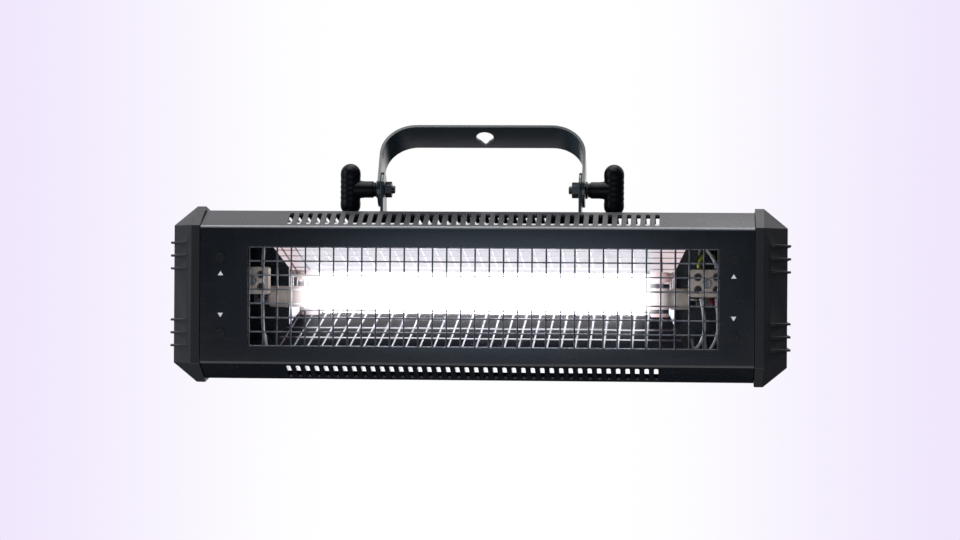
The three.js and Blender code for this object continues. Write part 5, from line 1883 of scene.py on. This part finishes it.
@dataclass
class Yoke(SubAssembly):
    """Bent strap, its ears on the roof and the two clamp knobs."""

    pivot_depth: float = 54.0
    pivot_z: float = 76.40566
    lean: float = 34.0
    reach: float = 49.2
    half_width: float = 74.5
    strap: float = 25.0
    sheet: float = 2.0
    bend: float = 25.5
    hole: float = 6.4
    notch_reach: float = 9.6
    notch_half: Pair = (3.4, 0.7)
    ear_outer: float = 72.2
    ear_sheet: float = 2.0
    ear_radius: float = 12.5
    ear_foot: float = 20.0
    stud: float = 3.0
    stud_start: float = 62.7
    washer_start: float = 74.8
    washer: Pair = (6.2, 1.5)
    knob_start: float = 76.6
    bar_x: float = 95.2
    bar_half: float = 18.6
    bar_radius: float = 7.3
    flute: Pair = (3.9, 0.22)
    stem: float = 6.0
    ferrule: Pair = (5.2, 1.8)
    nut: Triple = (65.0, 4.9, 10.0)

    @property
    def stance(self) -> Matrix:
        """From the upright strap, about its pivot, to its place on the case."""
        pivot = Matrix.Translation((0.0, self.pivot_depth, self.pivot_z))
        return pivot @ Matrix.Rotation(-math.radians(self.lean), 4, "X")

    def build(self) -> None:
        """Makes the strap, ears, knobs, washers and nuts."""
        self._strap()
        for side in Side:
            self._ear(side)
            self._knob(side)
            self._hardware(side)

    def _strap(self) -> None:
        """Makes the bent strap."""
        end = self.strap / 2
        half, reach = self.half_width, self.reach
        path = [(half, -end), (half, reach), (-half, reach), (-half, -end)]
        outer = rounded_path(path, self.bend, 18)
        inner = rounded_path(offset_path(path, self.sheet), self.bend - self.sheet, 18)
        bar = Form().prism(outer + inner[::-1], -end, end, Axis.Y).moved(self.stance).to_mesh("strap")
        wide = end + 4.0
        corner = [(-wide, 0.0), *arc(0.0, 0.0, end, 0.5, 1.0, 24), (wide, 0.0), (wide, -wide), (-wide, -wide)]
        cutter = Form().prism(corner, -self.half_width - 4.0, self.half_width + 4.0, Axis.X)
        mesh = self.shop.cut(bar, cutter.moved(self.stance))
        holes = Form()
        low, high = self.reach - self.sheet - 3.0, self.reach + 3.0
        holes.prism(circle(0.0, 0.0, self.hole, 48), low, high, Axis.Z)
        for sign in (-1, 1):
            near = sign * (self.half_width - self.sheet - 3.0)
            holes.prism(circle(0.0, 0.0, self.stud + 0.35, 28), near, near + sign * 8, Axis.X)
        root, tip = self.notch_half
        shoulder = math.sqrt(self.hole**2 - root**2)
        wedge = [
            (-root, 0.0), (root, 0.0), (root, shoulder), (tip, self.notch_reach - 0.3),
            (tip - 0.35, self.notch_reach), (0.35 - tip, self.notch_reach), (-tip, self.notch_reach - 0.3),
            (-root, shoulder),
        ]
        notch = Form().prism(wedge, low, high, Axis.Z)
        mesh = self.shop.cut(mesh, holes.moved(self.stance))
        mesh = cleaned(self.shop.cut(mesh, notch.moved(self.stance)))
        self.shop.piece("yoke_strap", mesh, YOKE_PAINT, "yoke", ("yoke",), edge=0.35, smooth=25.0, segments=3)

    def _ear(self, side: Side) -> None:
        """Makes an ear: a round-topped plate bent from a foot, with two rivets.

        Args:
            side: which end.
        """
        case = Case(self.shop)
        name = f"ear_{side.word}"
        front, back = self.pivot_depth - self.ear_radius, self.pivot_depth + self.ear_radius
        arch = arc(self.pivot_depth, self.pivot_z, self.ear_radius, 0.0, 0.5, 28)
        roof = [(depth, case.half_at(depth) + case.gap) for depth in (front, back)]
        plate = [roof[0], roof[1], *arch]
        outer, inner = side.value * self.ear_outer, side.value * (self.ear_outer - self.ear_sheet)
        hole = circle(self.pivot_depth, self.pivot_z, self.stud + 0.35, 28)
        mesh = Form().prism(plate, *sorted((inner, outer)), Axis.X, [hole]).to_mesh(name)
        foot = [roof[0], roof[1], (back, roof[1][1] + self.ear_sheet), (front, roof[0][1] + self.ear_sheet)]
        ends = sorted((inner - side.value * self.ear_foot, outer - side.value * 0.001))
        mesh = cleaned(self.shop.cut(mesh, Form().prism(foot, *ends, Axis.X), "UNION"))
        self.shop.piece(f"{name}_shape", mesh, YOKE_PAINT, replaces=(name,), edge=0.35, smooth=25.0)
        dome = [(0.0, 1.3), (1.2, 1.15), (2.1, 0.7), (2.6, 0.1), (2.6, -0.2), (0.0, -0.2)]
        slope = Matrix.Rotation(-case.roof_angle, 4, "X")
        rivet = Form().lathe(dome, (0.0, 0.0, 0.0), Axis.Z, 20).moved(slope)
        first, last = self.pivot_depth - 7.0, self.pivot_depth + 7.0
        height = case.half_at(first) + case.gap + self.ear_sheet
        drop = case.half_at(last) - case.half_at(first)
        rivets = self.shop.repeated(
            rivet, BLACK_STEEL, (inner - side.value * 9.0, first, height), 2, (0.0, last - first, drop)
        )
        self.shop.piece(f"rivets_{side.word}", rivets, BLACK_STEEL, smooth=60.0)

    def _knob(self, side: Side) -> None:
        """Makes a T-shaped grip and its threaded stud.

        Args:
            side: which end.
        """
        sign = side.value
        body = f"knob_{side.word}"
        crown = self.bar_half - self.bar_radius
        full = self.bar_radius
        dome = [(0.0, self.bar_half), *arc(0.0, crown, full, 0.25, 0.0, 8)[1:]]
        pitch, depth = self.flute
        rings = int(2 * crown / pitch)
        middle = []
        for ring in range(rings):
            along = (rings - 1) / 2 * pitch - ring * pitch
            for share, cut in ((0.38, 0.0), (0.22, 0.5), (0.0, 1.0), (-0.22, 0.5), (-0.38, 0.0)):
                middle.append((full - depth * cut, along + pitch * share))
        profile = [*dome, *middle, *mirrored(dome[::-1], -1)]
        centre = (sign * self.bar_x, self.pivot_depth, self.pivot_z)
        bar = Form().lathe(profile, centre, Axis.Z, 40).to_mesh(body)
        start = self.knob_start
        ferrule, ferrule_length = self.ferrule
        stem = [
            (0.0, start), (ferrule - 0.3, start), (ferrule, start + 0.3), (ferrule, start + ferrule_length),
            (self.stem - 0.4, start + ferrule_length), (self.stem, start + ferrule_length + 0.4),
            (self.stem, start + 8.0), (self.stem + 0.7, self.bar_x - 4.0), (self.stem + 0.7, self.bar_x),
            (0.0, self.bar_x),
        ]
        pivot = (0.0, self.pivot_depth, self.pivot_z)
        mesh = self.shop.cut(bar, Form().lathe(mirrored(stem, sign), pivot, Axis.X, 40), "UNION")
        mesh, name = cleaned(mesh), f"grip_{side.word}"
        self.shop.piece(name, mesh, KNOB, body, (body,), edge=0.45, smooth=28.0, segments=3)
        thread = [
            (0.0, self.stud_start), (self.stud - 0.7, self.stud_start), (self.stud, self.stud_start + 0.7)
        ]
        along = self.stud_start + 1.2
        while along < start - 1.0:
            thread += [(self.stud, along), (self.stud - 0.45, along + 0.4), (self.stud, along + 0.8)]
            along += 1.0
        thread += [(self.stud, start + 0.4), (0.0, start + 0.4)]
        form = Form().lathe(mirrored(thread, sign), pivot, Axis.X, 28)
        self.shop.piece(f"stud_{side.word}", form, NUT_STEEL, body=body, smooth=30.0)

    def _hardware(self, side: Side) -> None:
        """Makes a washer and a nut.

        Args:
            side: which end.
        """
        sign = side.value
        centre = (0.0, self.pivot_depth, self.pivot_z)
        radius, thick = self.washer
        low, high = self.washer_start, self.washer_start + thick
        ring = [
            (3.4, low), (radius - 0.3, low), (radius, low + 0.3), (radius, high - 0.3), (radius - 0.3, high),
            (3.4, high), (3.4, low),
        ]
        form = Form().lathe(mirrored(ring, sign), centre, Axis.X, 40)
        self.shop.piece(
            f"washer_{side.word}_shape", form, BLACK_STEEL, body=f"knob_{side.word}",
            replaces=(f"washer_{side.word}",), smooth=30.0,
        )
        start, height, flats = self.nut
        corner = flats / math.sqrt(3)
        hexagon = arc(self.pivot_depth, self.pivot_z, corner, 0.25, 1.25, 6)[:-1]
        bore = circle(self.pivot_depth, self.pivot_z, 3.4, 24)
        nut = Form().prism(hexagon, sign * start, sign * (start + height), Axis.X, [bore])
        name = f"nut_{side.word}"
        self.shop.piece(f"{name}_shape", nut, NUT_STEEL, replaces=(name,), edge=0.5, smooth=35.0)


@dataclass
class BackPanel(SubAssembly):
    """Connectors, fan, display and buttons on the back."""

    inlet_x: float = -165.0
    fuse_x: float = -120.0
    in_x: float = 96.0
    out_x: float = 134.0
    fan_x: float = -62.0
    fan_bore: float = 28.0
    display: Quad = (20.0, 9.0, 38.0, 15.0)
    button_z: float = -14.0
    button_x: tuple[float, ...] = (3.5, 14.5, 25.5, 36.5)
    rotor_start: float = 91.0
    face: float = 105.3

    def openings(self, depth: float) -> Form:
        """The cutters of every opening in the back panel.

        Args:
            depth: the back's outer face.

        Returns:
            The cutters as one form.
        """
        low, high = depth - 4.0, depth + 3.0
        x, z, width, height = self.display
        cutters = Form()
        cutters.prism(round_rectangle(self.inlet_x, 0.0, 28.6, 21.1, 3.0, 4), low, high, Axis.Y)
        round_holes = (
            (self.fuse_x, 6.55), (self.in_x, 12.15), (self.out_x, 12.15), (self.fan_x, self.fan_bore)
        )
        for centre, radius in round_holes:
            cutters.prism(circle(centre, 0.0, radius, 48), low, high, Axis.Y)
        cutters.prism(round_rectangle(x, z, width, height, 0.8, 3), low, high, Axis.Y)
        for centre in self.button_x:
            cutters.prism(circle(centre, self.button_z, 3.35, 28), low, high, Axis.Y)
        return cutters

    def build(self) -> None:
        """Makes what the back panel carries."""
        self._inlet()
        self._fuse()
        self._signals()
        self._fan()
        self._controls()

    def _inlet(self) -> None:
        """Makes the mains inlet's shell and its blades."""
        self.shop.softened("power_inlet", PLASTIC, 0.3, smooth=30.0)
        blades = Form()
        for x, z in ((-7.0, -2.0), (0.0, 2.0), (7.0, -2.0)):
            centre = self.inlet_x + x
            blades.prism(rectangle(centre - 1.05, centre + 1.05, z - 2.05, z + 2.05), 93.0, 102.34, Axis.Y)
        self.shop.piece("inlet_blades", blades, CONTACT, edge=0.3)

    def _fuse(self) -> None:
        """Makes the fuse holder with its ribbed cap."""
        face = self.face
        profile = [
            (0.0, -24.0), (5.4, -24.0), (6.2, -23.2), (6.2, 0.0), (8.3, 0.0), (8.5, 0.3), (8.5, 1.7),
            (8.2, 2.0), (6.2, 2.0), (6.2, 8.4), (5.6, 9.0), (0.0, 9.0),
        ]
        mesh = Form().lathe(profile, (self.fuse_x, face, 0.0), Axis.Y, 48).to_mesh("fuse")
        slot = Form().prism(
            rectangle(self.fuse_x - 12.0, self.fuse_x + 12.0, -0.7, 0.7), face + 7.4, face + 12.0, Axis.Y
        )
        mesh = cleaned(self.shop.cut(mesh, slot))
        self.shop.piece("fuse_holder_shape", mesh, PLASTIC, replaces=("fuse_holder",), smooth=30.0)
        rib = Form().prism(circle(6.15, 0.0, 0.42, 8), 2.2, 8.2, Axis.Y)
        ribs = self.shop.ringed(rib, PLASTIC, (self.fuse_x, face, 0.0), 24)
        self.shop.piece("fuse_ribs", ribs, PLASTIC, smooth=50.0)

    def _signals(self) -> None:
        """Makes the two round signal connectors."""
        face = self.face
        outer, floor = face + 2.0, face - 11.5
        cup = [
            (0.0, -16.0), (11.2, -16.0), (11.2, -0.4), (10.95, 0.0), (10.95, 1.7), (10.6, 2.0), (9.9, 2.0),
            (9.5, 1.5), (9.5, -11.5), (0.0, -11.5),
        ]
        pin = [(0.0, -0.5), (1.2, -0.5), (1.2, 7.4), (0.7, 8.3), (0.0, 8.3)]
        dome = [(0.0, 1.5), (1.6, 1.35), (2.4, 0.9), (2.8, 0.2), (2.8, -0.2), (0.0, -0.2)]
        for name, x in (("signal_in", self.in_x), ("signal_out", self.out_x)):
            flange = Form().prism(
                round_rectangle(x, 0.0, 26.0, 31.0, 3.0, 6), face, outer, Axis.Y, [circle(x, 0.0, 11.0, 48)]
            )
            self.shop.piece(f"{name}_flange", flange, CONTACT, replaces=(name,), edge=0.4)
            solid = Form().lathe(cup, (x, face, 0.0), Axis.Y, 48)
            self.shop.piece(f"{name}_cup", solid, PLASTIC if name == "signal_out" else CONTACT, smooth=30.0)
            pins = arc(x, 0.0, 3.5, 0.25, 1.25, 3)[:-1]
            if name == "signal_out":
                core = Form().prism(
                    circle(x, 0.0, 6.6, 40), floor - 0.5, outer, Axis.Y,
                    [circle(a, b, 1.5, 16) for a, b in pins],
                )
                self.shop.piece("signal_out_core", core, PLASTIC, edge=0.2)
            else:
                form = Form()
                for a, b in pins:
                    form.lathe(pin, (a, floor, b), Axis.Y, 16)
                self.shop.piece("signal_in_pins", form, CONTACT, smooth=40.0)
            heads = Form()
            for sign in (-1, 1):
                heads.lathe(dome, (x + sign * 9.5, outer, sign * 12.0), Axis.Y, 20)
            self.shop.piece(f"{name}_screws", heads, BLACK_STEEL, smooth=50.0)

    def _fan(self) -> None:
        """Makes the fan's frame, its swept blades and its round-wire guard."""
        self.shop.softened("fan_frame", PLASTIC, 0.4, smooth=30.0)
        start = self.rotor_start
        hub = [
            (0.0, 0.0), (11.2, 0.0), (11.5, 0.3), (11.5, 8.4), (10.3, 9.6), (3.0, 9.6), (2.6, 9.2),
            (0.0, 9.2),
        ]
        form = Form().lathe(hub, (self.fan_x, start, 0.0), Axis.Y, 48)
        self.shop.piece("fan_hub", form, PLASTIC, body="fan_rotor", replaces=("fan_rotor",), smooth=30.0)
        blades = self.shop.ringed(self._blade(), PLASTIC, (self.fan_x, start + 4.8, 0.0), 7)
        self.shop.piece("fan_blades", blades, PLASTIC, body="fan_rotor", smooth=40.0)
        front = self.face
        middle = front + 0.7
        guard = Form()
        for radius in (11.5, 23.0):
            guard.pipe([(a, middle, b) for a, b in circle(self.fan_x, 0.0, radius, 64)], 0.7, 10, closed=True)
        reach = 25.0
        for rise in (reach, -reach):
            ends = [(self.fan_x - reach, middle, -rise), (self.fan_x + reach, middle, rise)]
            guard.pipe(ends, 0.68, 10)
        eye = [(1.0, 0.0), (3.6, 0.0), (4.0, 0.4), (4.0, 1.0), (3.6, 1.4), (1.0, 1.4), (1.0, 0.0)]
        for a in (-reach, reach):
            for b in (-reach, reach):
                guard.lathe(eye, (self.fan_x + a, front, b), Axis.Y, 24)
        self.shop.piece("guard_wires", guard, WIRE, replaces=("fan_guard",), smooth=50.0)
        corner = (self.fan_x - reach, front + 3.4, -reach)
        heads = self.shop.four(screw_head(3.5, 2.0), BLACK_STEEL, corner, 2 * reach, 2 * reach)
        self.shop.piece("fan_screws", heads, BLACK_STEEL)

    @staticmethod
    def _blade() -> Form:
        """One swept and twisted blade, about the rotor's middle."""
        form = Form()
        stations, across = 9, 7
        grids = []
        for offset in (-0.55, 0.55):
            grid = []
            for i in range(stations):
                share = i / (stations - 1)
                radius = 10.6 + share * 16.0
                angle = math.radians(48.0 + 14.0 * share)
                row = []
                for j in range(across):
                    chord = (j / (across - 1) - 0.5) * 12.0
                    camber = 1.1 * (1 - (2 * j / (across - 1) - 1) ** 2)
                    thick = offset * (1 - 0.55 * abs(2 * j / (across - 1) - 1) ** 2)
                    y = chord * math.cos(angle) - (thick + camber) * math.sin(angle)
                    z = chord * math.sin(angle) + (thick + camber) * math.cos(angle)
                    sweep = math.radians(7.0 * share)
                    row.append(form.mesh.verts.new((
                        radius * math.cos(sweep) - z * math.sin(sweep), max(min(y, 4.6), -4.6),
                        radius * math.sin(sweep) + z * math.cos(sweep),
                    )))
                grid.append(row)
            grids.append(grid)
        faces = []
        for grid in grids:
            for row, after in zip(grid, grid[1:]):
                for j in range(across - 1):
                    faces.append(form.mesh.faces.new((row[j], after[j], after[j + 1], row[j + 1])))
        one, two = grids
        border = [(i, 0) for i in range(stations)] + [(stations - 1, j) for j in range(1, across)]
        border += [(i, across - 1) for i in range(stations - 2, -1, -1)]
        border += [(0, j) for j in range(across - 2, 0, -1)]
        for (a, b), (c, d) in zip(border, border[1:] + border[:1]):
            faces.append(form.mesh.faces.new((one[a][b], one[c][d], two[c][d], two[a][b])))
        return form.outwards(faces)

    def _controls(self) -> None:
        """Makes the display window, its lit bars and the four buttons."""
        self.shop.softened("display_window", DarkWindow(), 0.2)
        x, z, _, _ = self.display
        bars = Form()
        for step in (-1.5, -0.5, 0.5, 1.5):
            centre = x - step * 7.5
            bars.prism(round_rectangle(centre, z, 4.2, 1.1, 0.5, 3), 103.22, 103.3, Axis.Y)
        self.shop.piece("display_bars", bars, LitSegment())
        cap = [
            (0.0, -7.4), (4.0, -7.4), (4.0, -6.0), (3.0, -6.0), (3.0, -0.6), (2.85, -0.25), (2.5, -0.05),
            (1.5, 0.0), (0.0, -0.1),
        ]
        for name, centre in zip(("menu", "down", "up", "enter"), self.button_x):
            form = Form().lathe(cap, (centre, 106.8, self.button_z), Axis.Y, 32)
            node = f"button_{name}"
            self.shop.piece(f"{node}_cap", form, PLASTIC, body=node, replaces=(node,), smooth=32.0)


@dataclass
class Inside(SubAssembly):
    """Frames, plate and the electrics behind the trough."""

    plate_face: float = 63.2
    can_x: Pair = (65.0, 125.0)
    can_z: float = 24.0
    can_radius: float = 12.5
    can_length: float = 46.0

    def build(self) -> None:
        """Dresses what is behind the trough."""
        self.shop.dress_node(PAINT, "chassis_plate", "end_frame_left", "end_frame_right")
        self.shop.dress_node(ZINC, "capacitor_strap_left", "capacitor_strap_right")
        self.shop.dress_node(CERAMIC, "discharge_resistor")
        self.shop.dress_node(CopperWire(), "trigger_coil")
        self.shop.dress_node(Laminate(), "control_board")
        self._cans()

    def _cans(self) -> None:
        """Makes the storage capacitors with their crimped rims."""
        radius, half = self.can_radius, self.can_length / 2
        profile = [
            (0.0, -half), (radius - 0.8, -half), (radius, -half + 0.8), (radius, half - 6.0),
            (radius - 1.0, half - 5.0), (radius - 1.0, half - 4.2), (radius, half - 3.2),
            (radius, half - 1.0), (radius - 1.0, half), (radius - 2.2, half), (radius - 2.6, half - 0.7),
            (0.0, half - 0.7),
        ]
        depth = self.plate_face + 0.3 + radius
        for side, x in zip(Side, self.can_x):
            for level, z in (("upper", self.can_z), ("lower", -self.can_z)):
                node = f"capacitor_{level}_{side.word}"
                form = Form().lathe(profile, (x, depth, z), Axis.X, 40)
                self.shop.piece(f"{node}_can", form, CanSleeve(), replaces=(node,), smooth=35.0)


@dataclass
class Studio:
    """Camera, soft light, pale floor and backdrop colour."""

    look_at: Triple = (0.0, 28.0, 0.0)
    distance: float = 1.9
    azimuth: float = 4.54
    elevation: float = 0.20
    roll: float = 0.40
    lens: float = 100.2
    shift: Pair = (0.00184, 0.02717)
    floor_drop: float = 0.62
    floor_half: float = 2.8
    white: Colour = (1.0, 1.0, 1.0)
    lilac: Colour = (0.87, 0.79, 0.98)
    dusk: Colour = (0.55, 0.75, 1.0)
    day: Colour = (0.97, 0.96, 1.0)
    surround: Colour = (0.93, 0.95, 1.0)
    surround_level: float = 0.45
    aim: Triple = (0.0, -0.03, -0.1)

    def build(self) -> None:
        """Makes the camera, the lamps, the world and the floor."""
        self._camera()
        self._world()
        self._lamps()
        self._floor()
        bpy.context.scene.view_settings.view_transform = "Standard"

    def _camera(self) -> None:
        """Makes the camera at the photograph's angle."""
        a, e, r = (math.radians(value) for value in (self.azimuth, self.elevation, self.roll))
        back = Vector((math.sin(a) * math.cos(e), -math.cos(a) * math.cos(e), math.sin(e)))
        right = Vector((0.0, 0.0, 1.0)).cross(back).normalized()
        up = back.cross(right)
        turned_right = right * math.cos(r) + up * math.sin(r)
        turned_up = up * math.cos(r) - right * math.sin(r)
        data = bpy.data.cameras.new("camera")
        data.lens = self.lens
        data.sensor_width = 36.0
        data.shift_x, data.shift_y = self.shift
        camera = linked("camera", data)
        spot = place(self.look_at) + back * self.distance
        turn = Matrix((turned_right, turned_up, back)).transposed().to_4x4()
        camera.matrix_world = Matrix.Translation(spot) @ turn
        bpy.context.scene.camera = camera

    def _world(self) -> None:
        """Makes the backdrop colour and a dim surround."""
        world = bpy.data.worlds.new("studio")
        bpy.context.scene.world = world
        world.use_nodes = True
        graph = Graph(world.node_tree)
        x, y, z = graph.split(graph.node("ShaderNodeTexCoord").outputs["Generated"])
        side = (abs(x + 0.079) / 0.18).step(0.25, 1.05)
        backcloth = graph.blend(side, self.white, self.lilac)
        seen = graph.node("ShaderNodeBackground", values={0: backcloth, 1: 1.0})
        backdrop = (y * 0.65 + z * 0.76).step(0.3, 0.7)
        floor = (z * -0.9 - y * 0.3).step(0.38, 0.52) * y.step(0.5, 0.2)
        left = (x * -1.0).step(0.35, 0.95) * 0.35
        right = x.step(0.35, 0.95) * 0.03
        level = 0.015 + backdrop.most(floor).most(left).most(right) * 0.96
        tint = graph.blend(level.step(0.05, 0.5), self.dusk, self.day)
        mirrored = graph.node("ShaderNodeBackground", values={0: tint, 1: level})
        around = graph.node("ShaderNodeBackground", values={0: (*self.surround, 1.0), 1: self.surround_level})
        rays = graph.node("ShaderNodeLightPath").outputs
        glossy = Wave(graph, rays["Is Glossy Ray"]).most(rays["Is Transmission Ray"])
        first = graph.node("ShaderNodeMixShader", values={0: glossy, 1: around, 2: mirrored})
        second = graph.node("ShaderNodeMixShader", values={0: rays["Is Camera Ray"], 1: first, 2: seen})
        graph.node("ShaderNodeOutputWorld", values={0: second})

    def _lamps(self) -> None:
        """Makes the soft lamps."""
        for name, spot, size, power, colour in (
            ("overhead", (-0.15, 0.15, 1.45), (1.6, 0.8), 14.0, self.white),
            ("high_front", (-0.1, -0.75, 1.35), (1.5, 0.4), 8.0, self.white),
            ("left", (-1.5, -0.6, 0.35), (0.8, 1.0), 4.0, self.white),
            ("front", (-0.03, -0.75, -0.107), (0.26, 0.10), 0.19, (0.62, 0.80, 1.0)),
        ):
            data = bpy.data.lights.new(name, "AREA")
            data.shape = "RECTANGLE"
            data.size, data.size_y = size
            data.energy = power
            data.color = colour
            lamp = linked(name, data)
            lamp.location = spot
            lamp.visible_camera = False
            lamp.rotation_mode = "QUATERNION"
            lamp.rotation_quaternion = (Vector(self.aim) - Vector(spot)).to_track_quat("-Z", "Y")

    def _floor(self) -> None:
        """Makes the pale floor below the hanging light."""
        half, low = self.floor_half, -self.floor_drop
        mesh = bpy.data.meshes.new("floor")
        corners = [(-half, -half, low), (half, -half, low), (half, half, low), (-half, half, low)]
        mesh.from_pydata(corners, [], [(0, 1, 2, 3)])
        floor = linked("floor", mesh)
        shading = Shading("pale_floor")
        clouds = shading.noise(90.0, 3.0)
        colour = shading.blend(clouds * 0.2, (0.84, 0.82, 0.86), (0.80, 0.78, 0.83))
        mesh.materials.append(shading.surface(colour, 0.8, shading.relief(clouds, 0.2, 0.2)))
        output = next(node for node in shading.tree.nodes if node.type == "OUTPUT_MATERIAL").inputs["Surface"]
        glossy = shading.node("ShaderNodeLightPath").outputs["Is Glossy Ray"]
        clear = shading.node("ShaderNodeBsdfTransparent")
        values = {0: glossy, 1: output.links[0].from_socket, 2: clear}
        shading.plug(output, shading.node("ShaderNodeMixShader", values=values))


def main() -> None:
    """Builds the scene round the frame."""
    logging.basicConfig(level=logging.INFO, format="%(name)s: %(message)s")
    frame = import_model()
    shop = Workshop(frame)
    Studio().build()
    for part in (Case, EndCap, Grille, LampHouse, Yoke, BackPanel, Inside):
        part(shop).build()
    LOG.info("%d pieces made", len(shop.made))


if __name__ == "__main__":
    main()
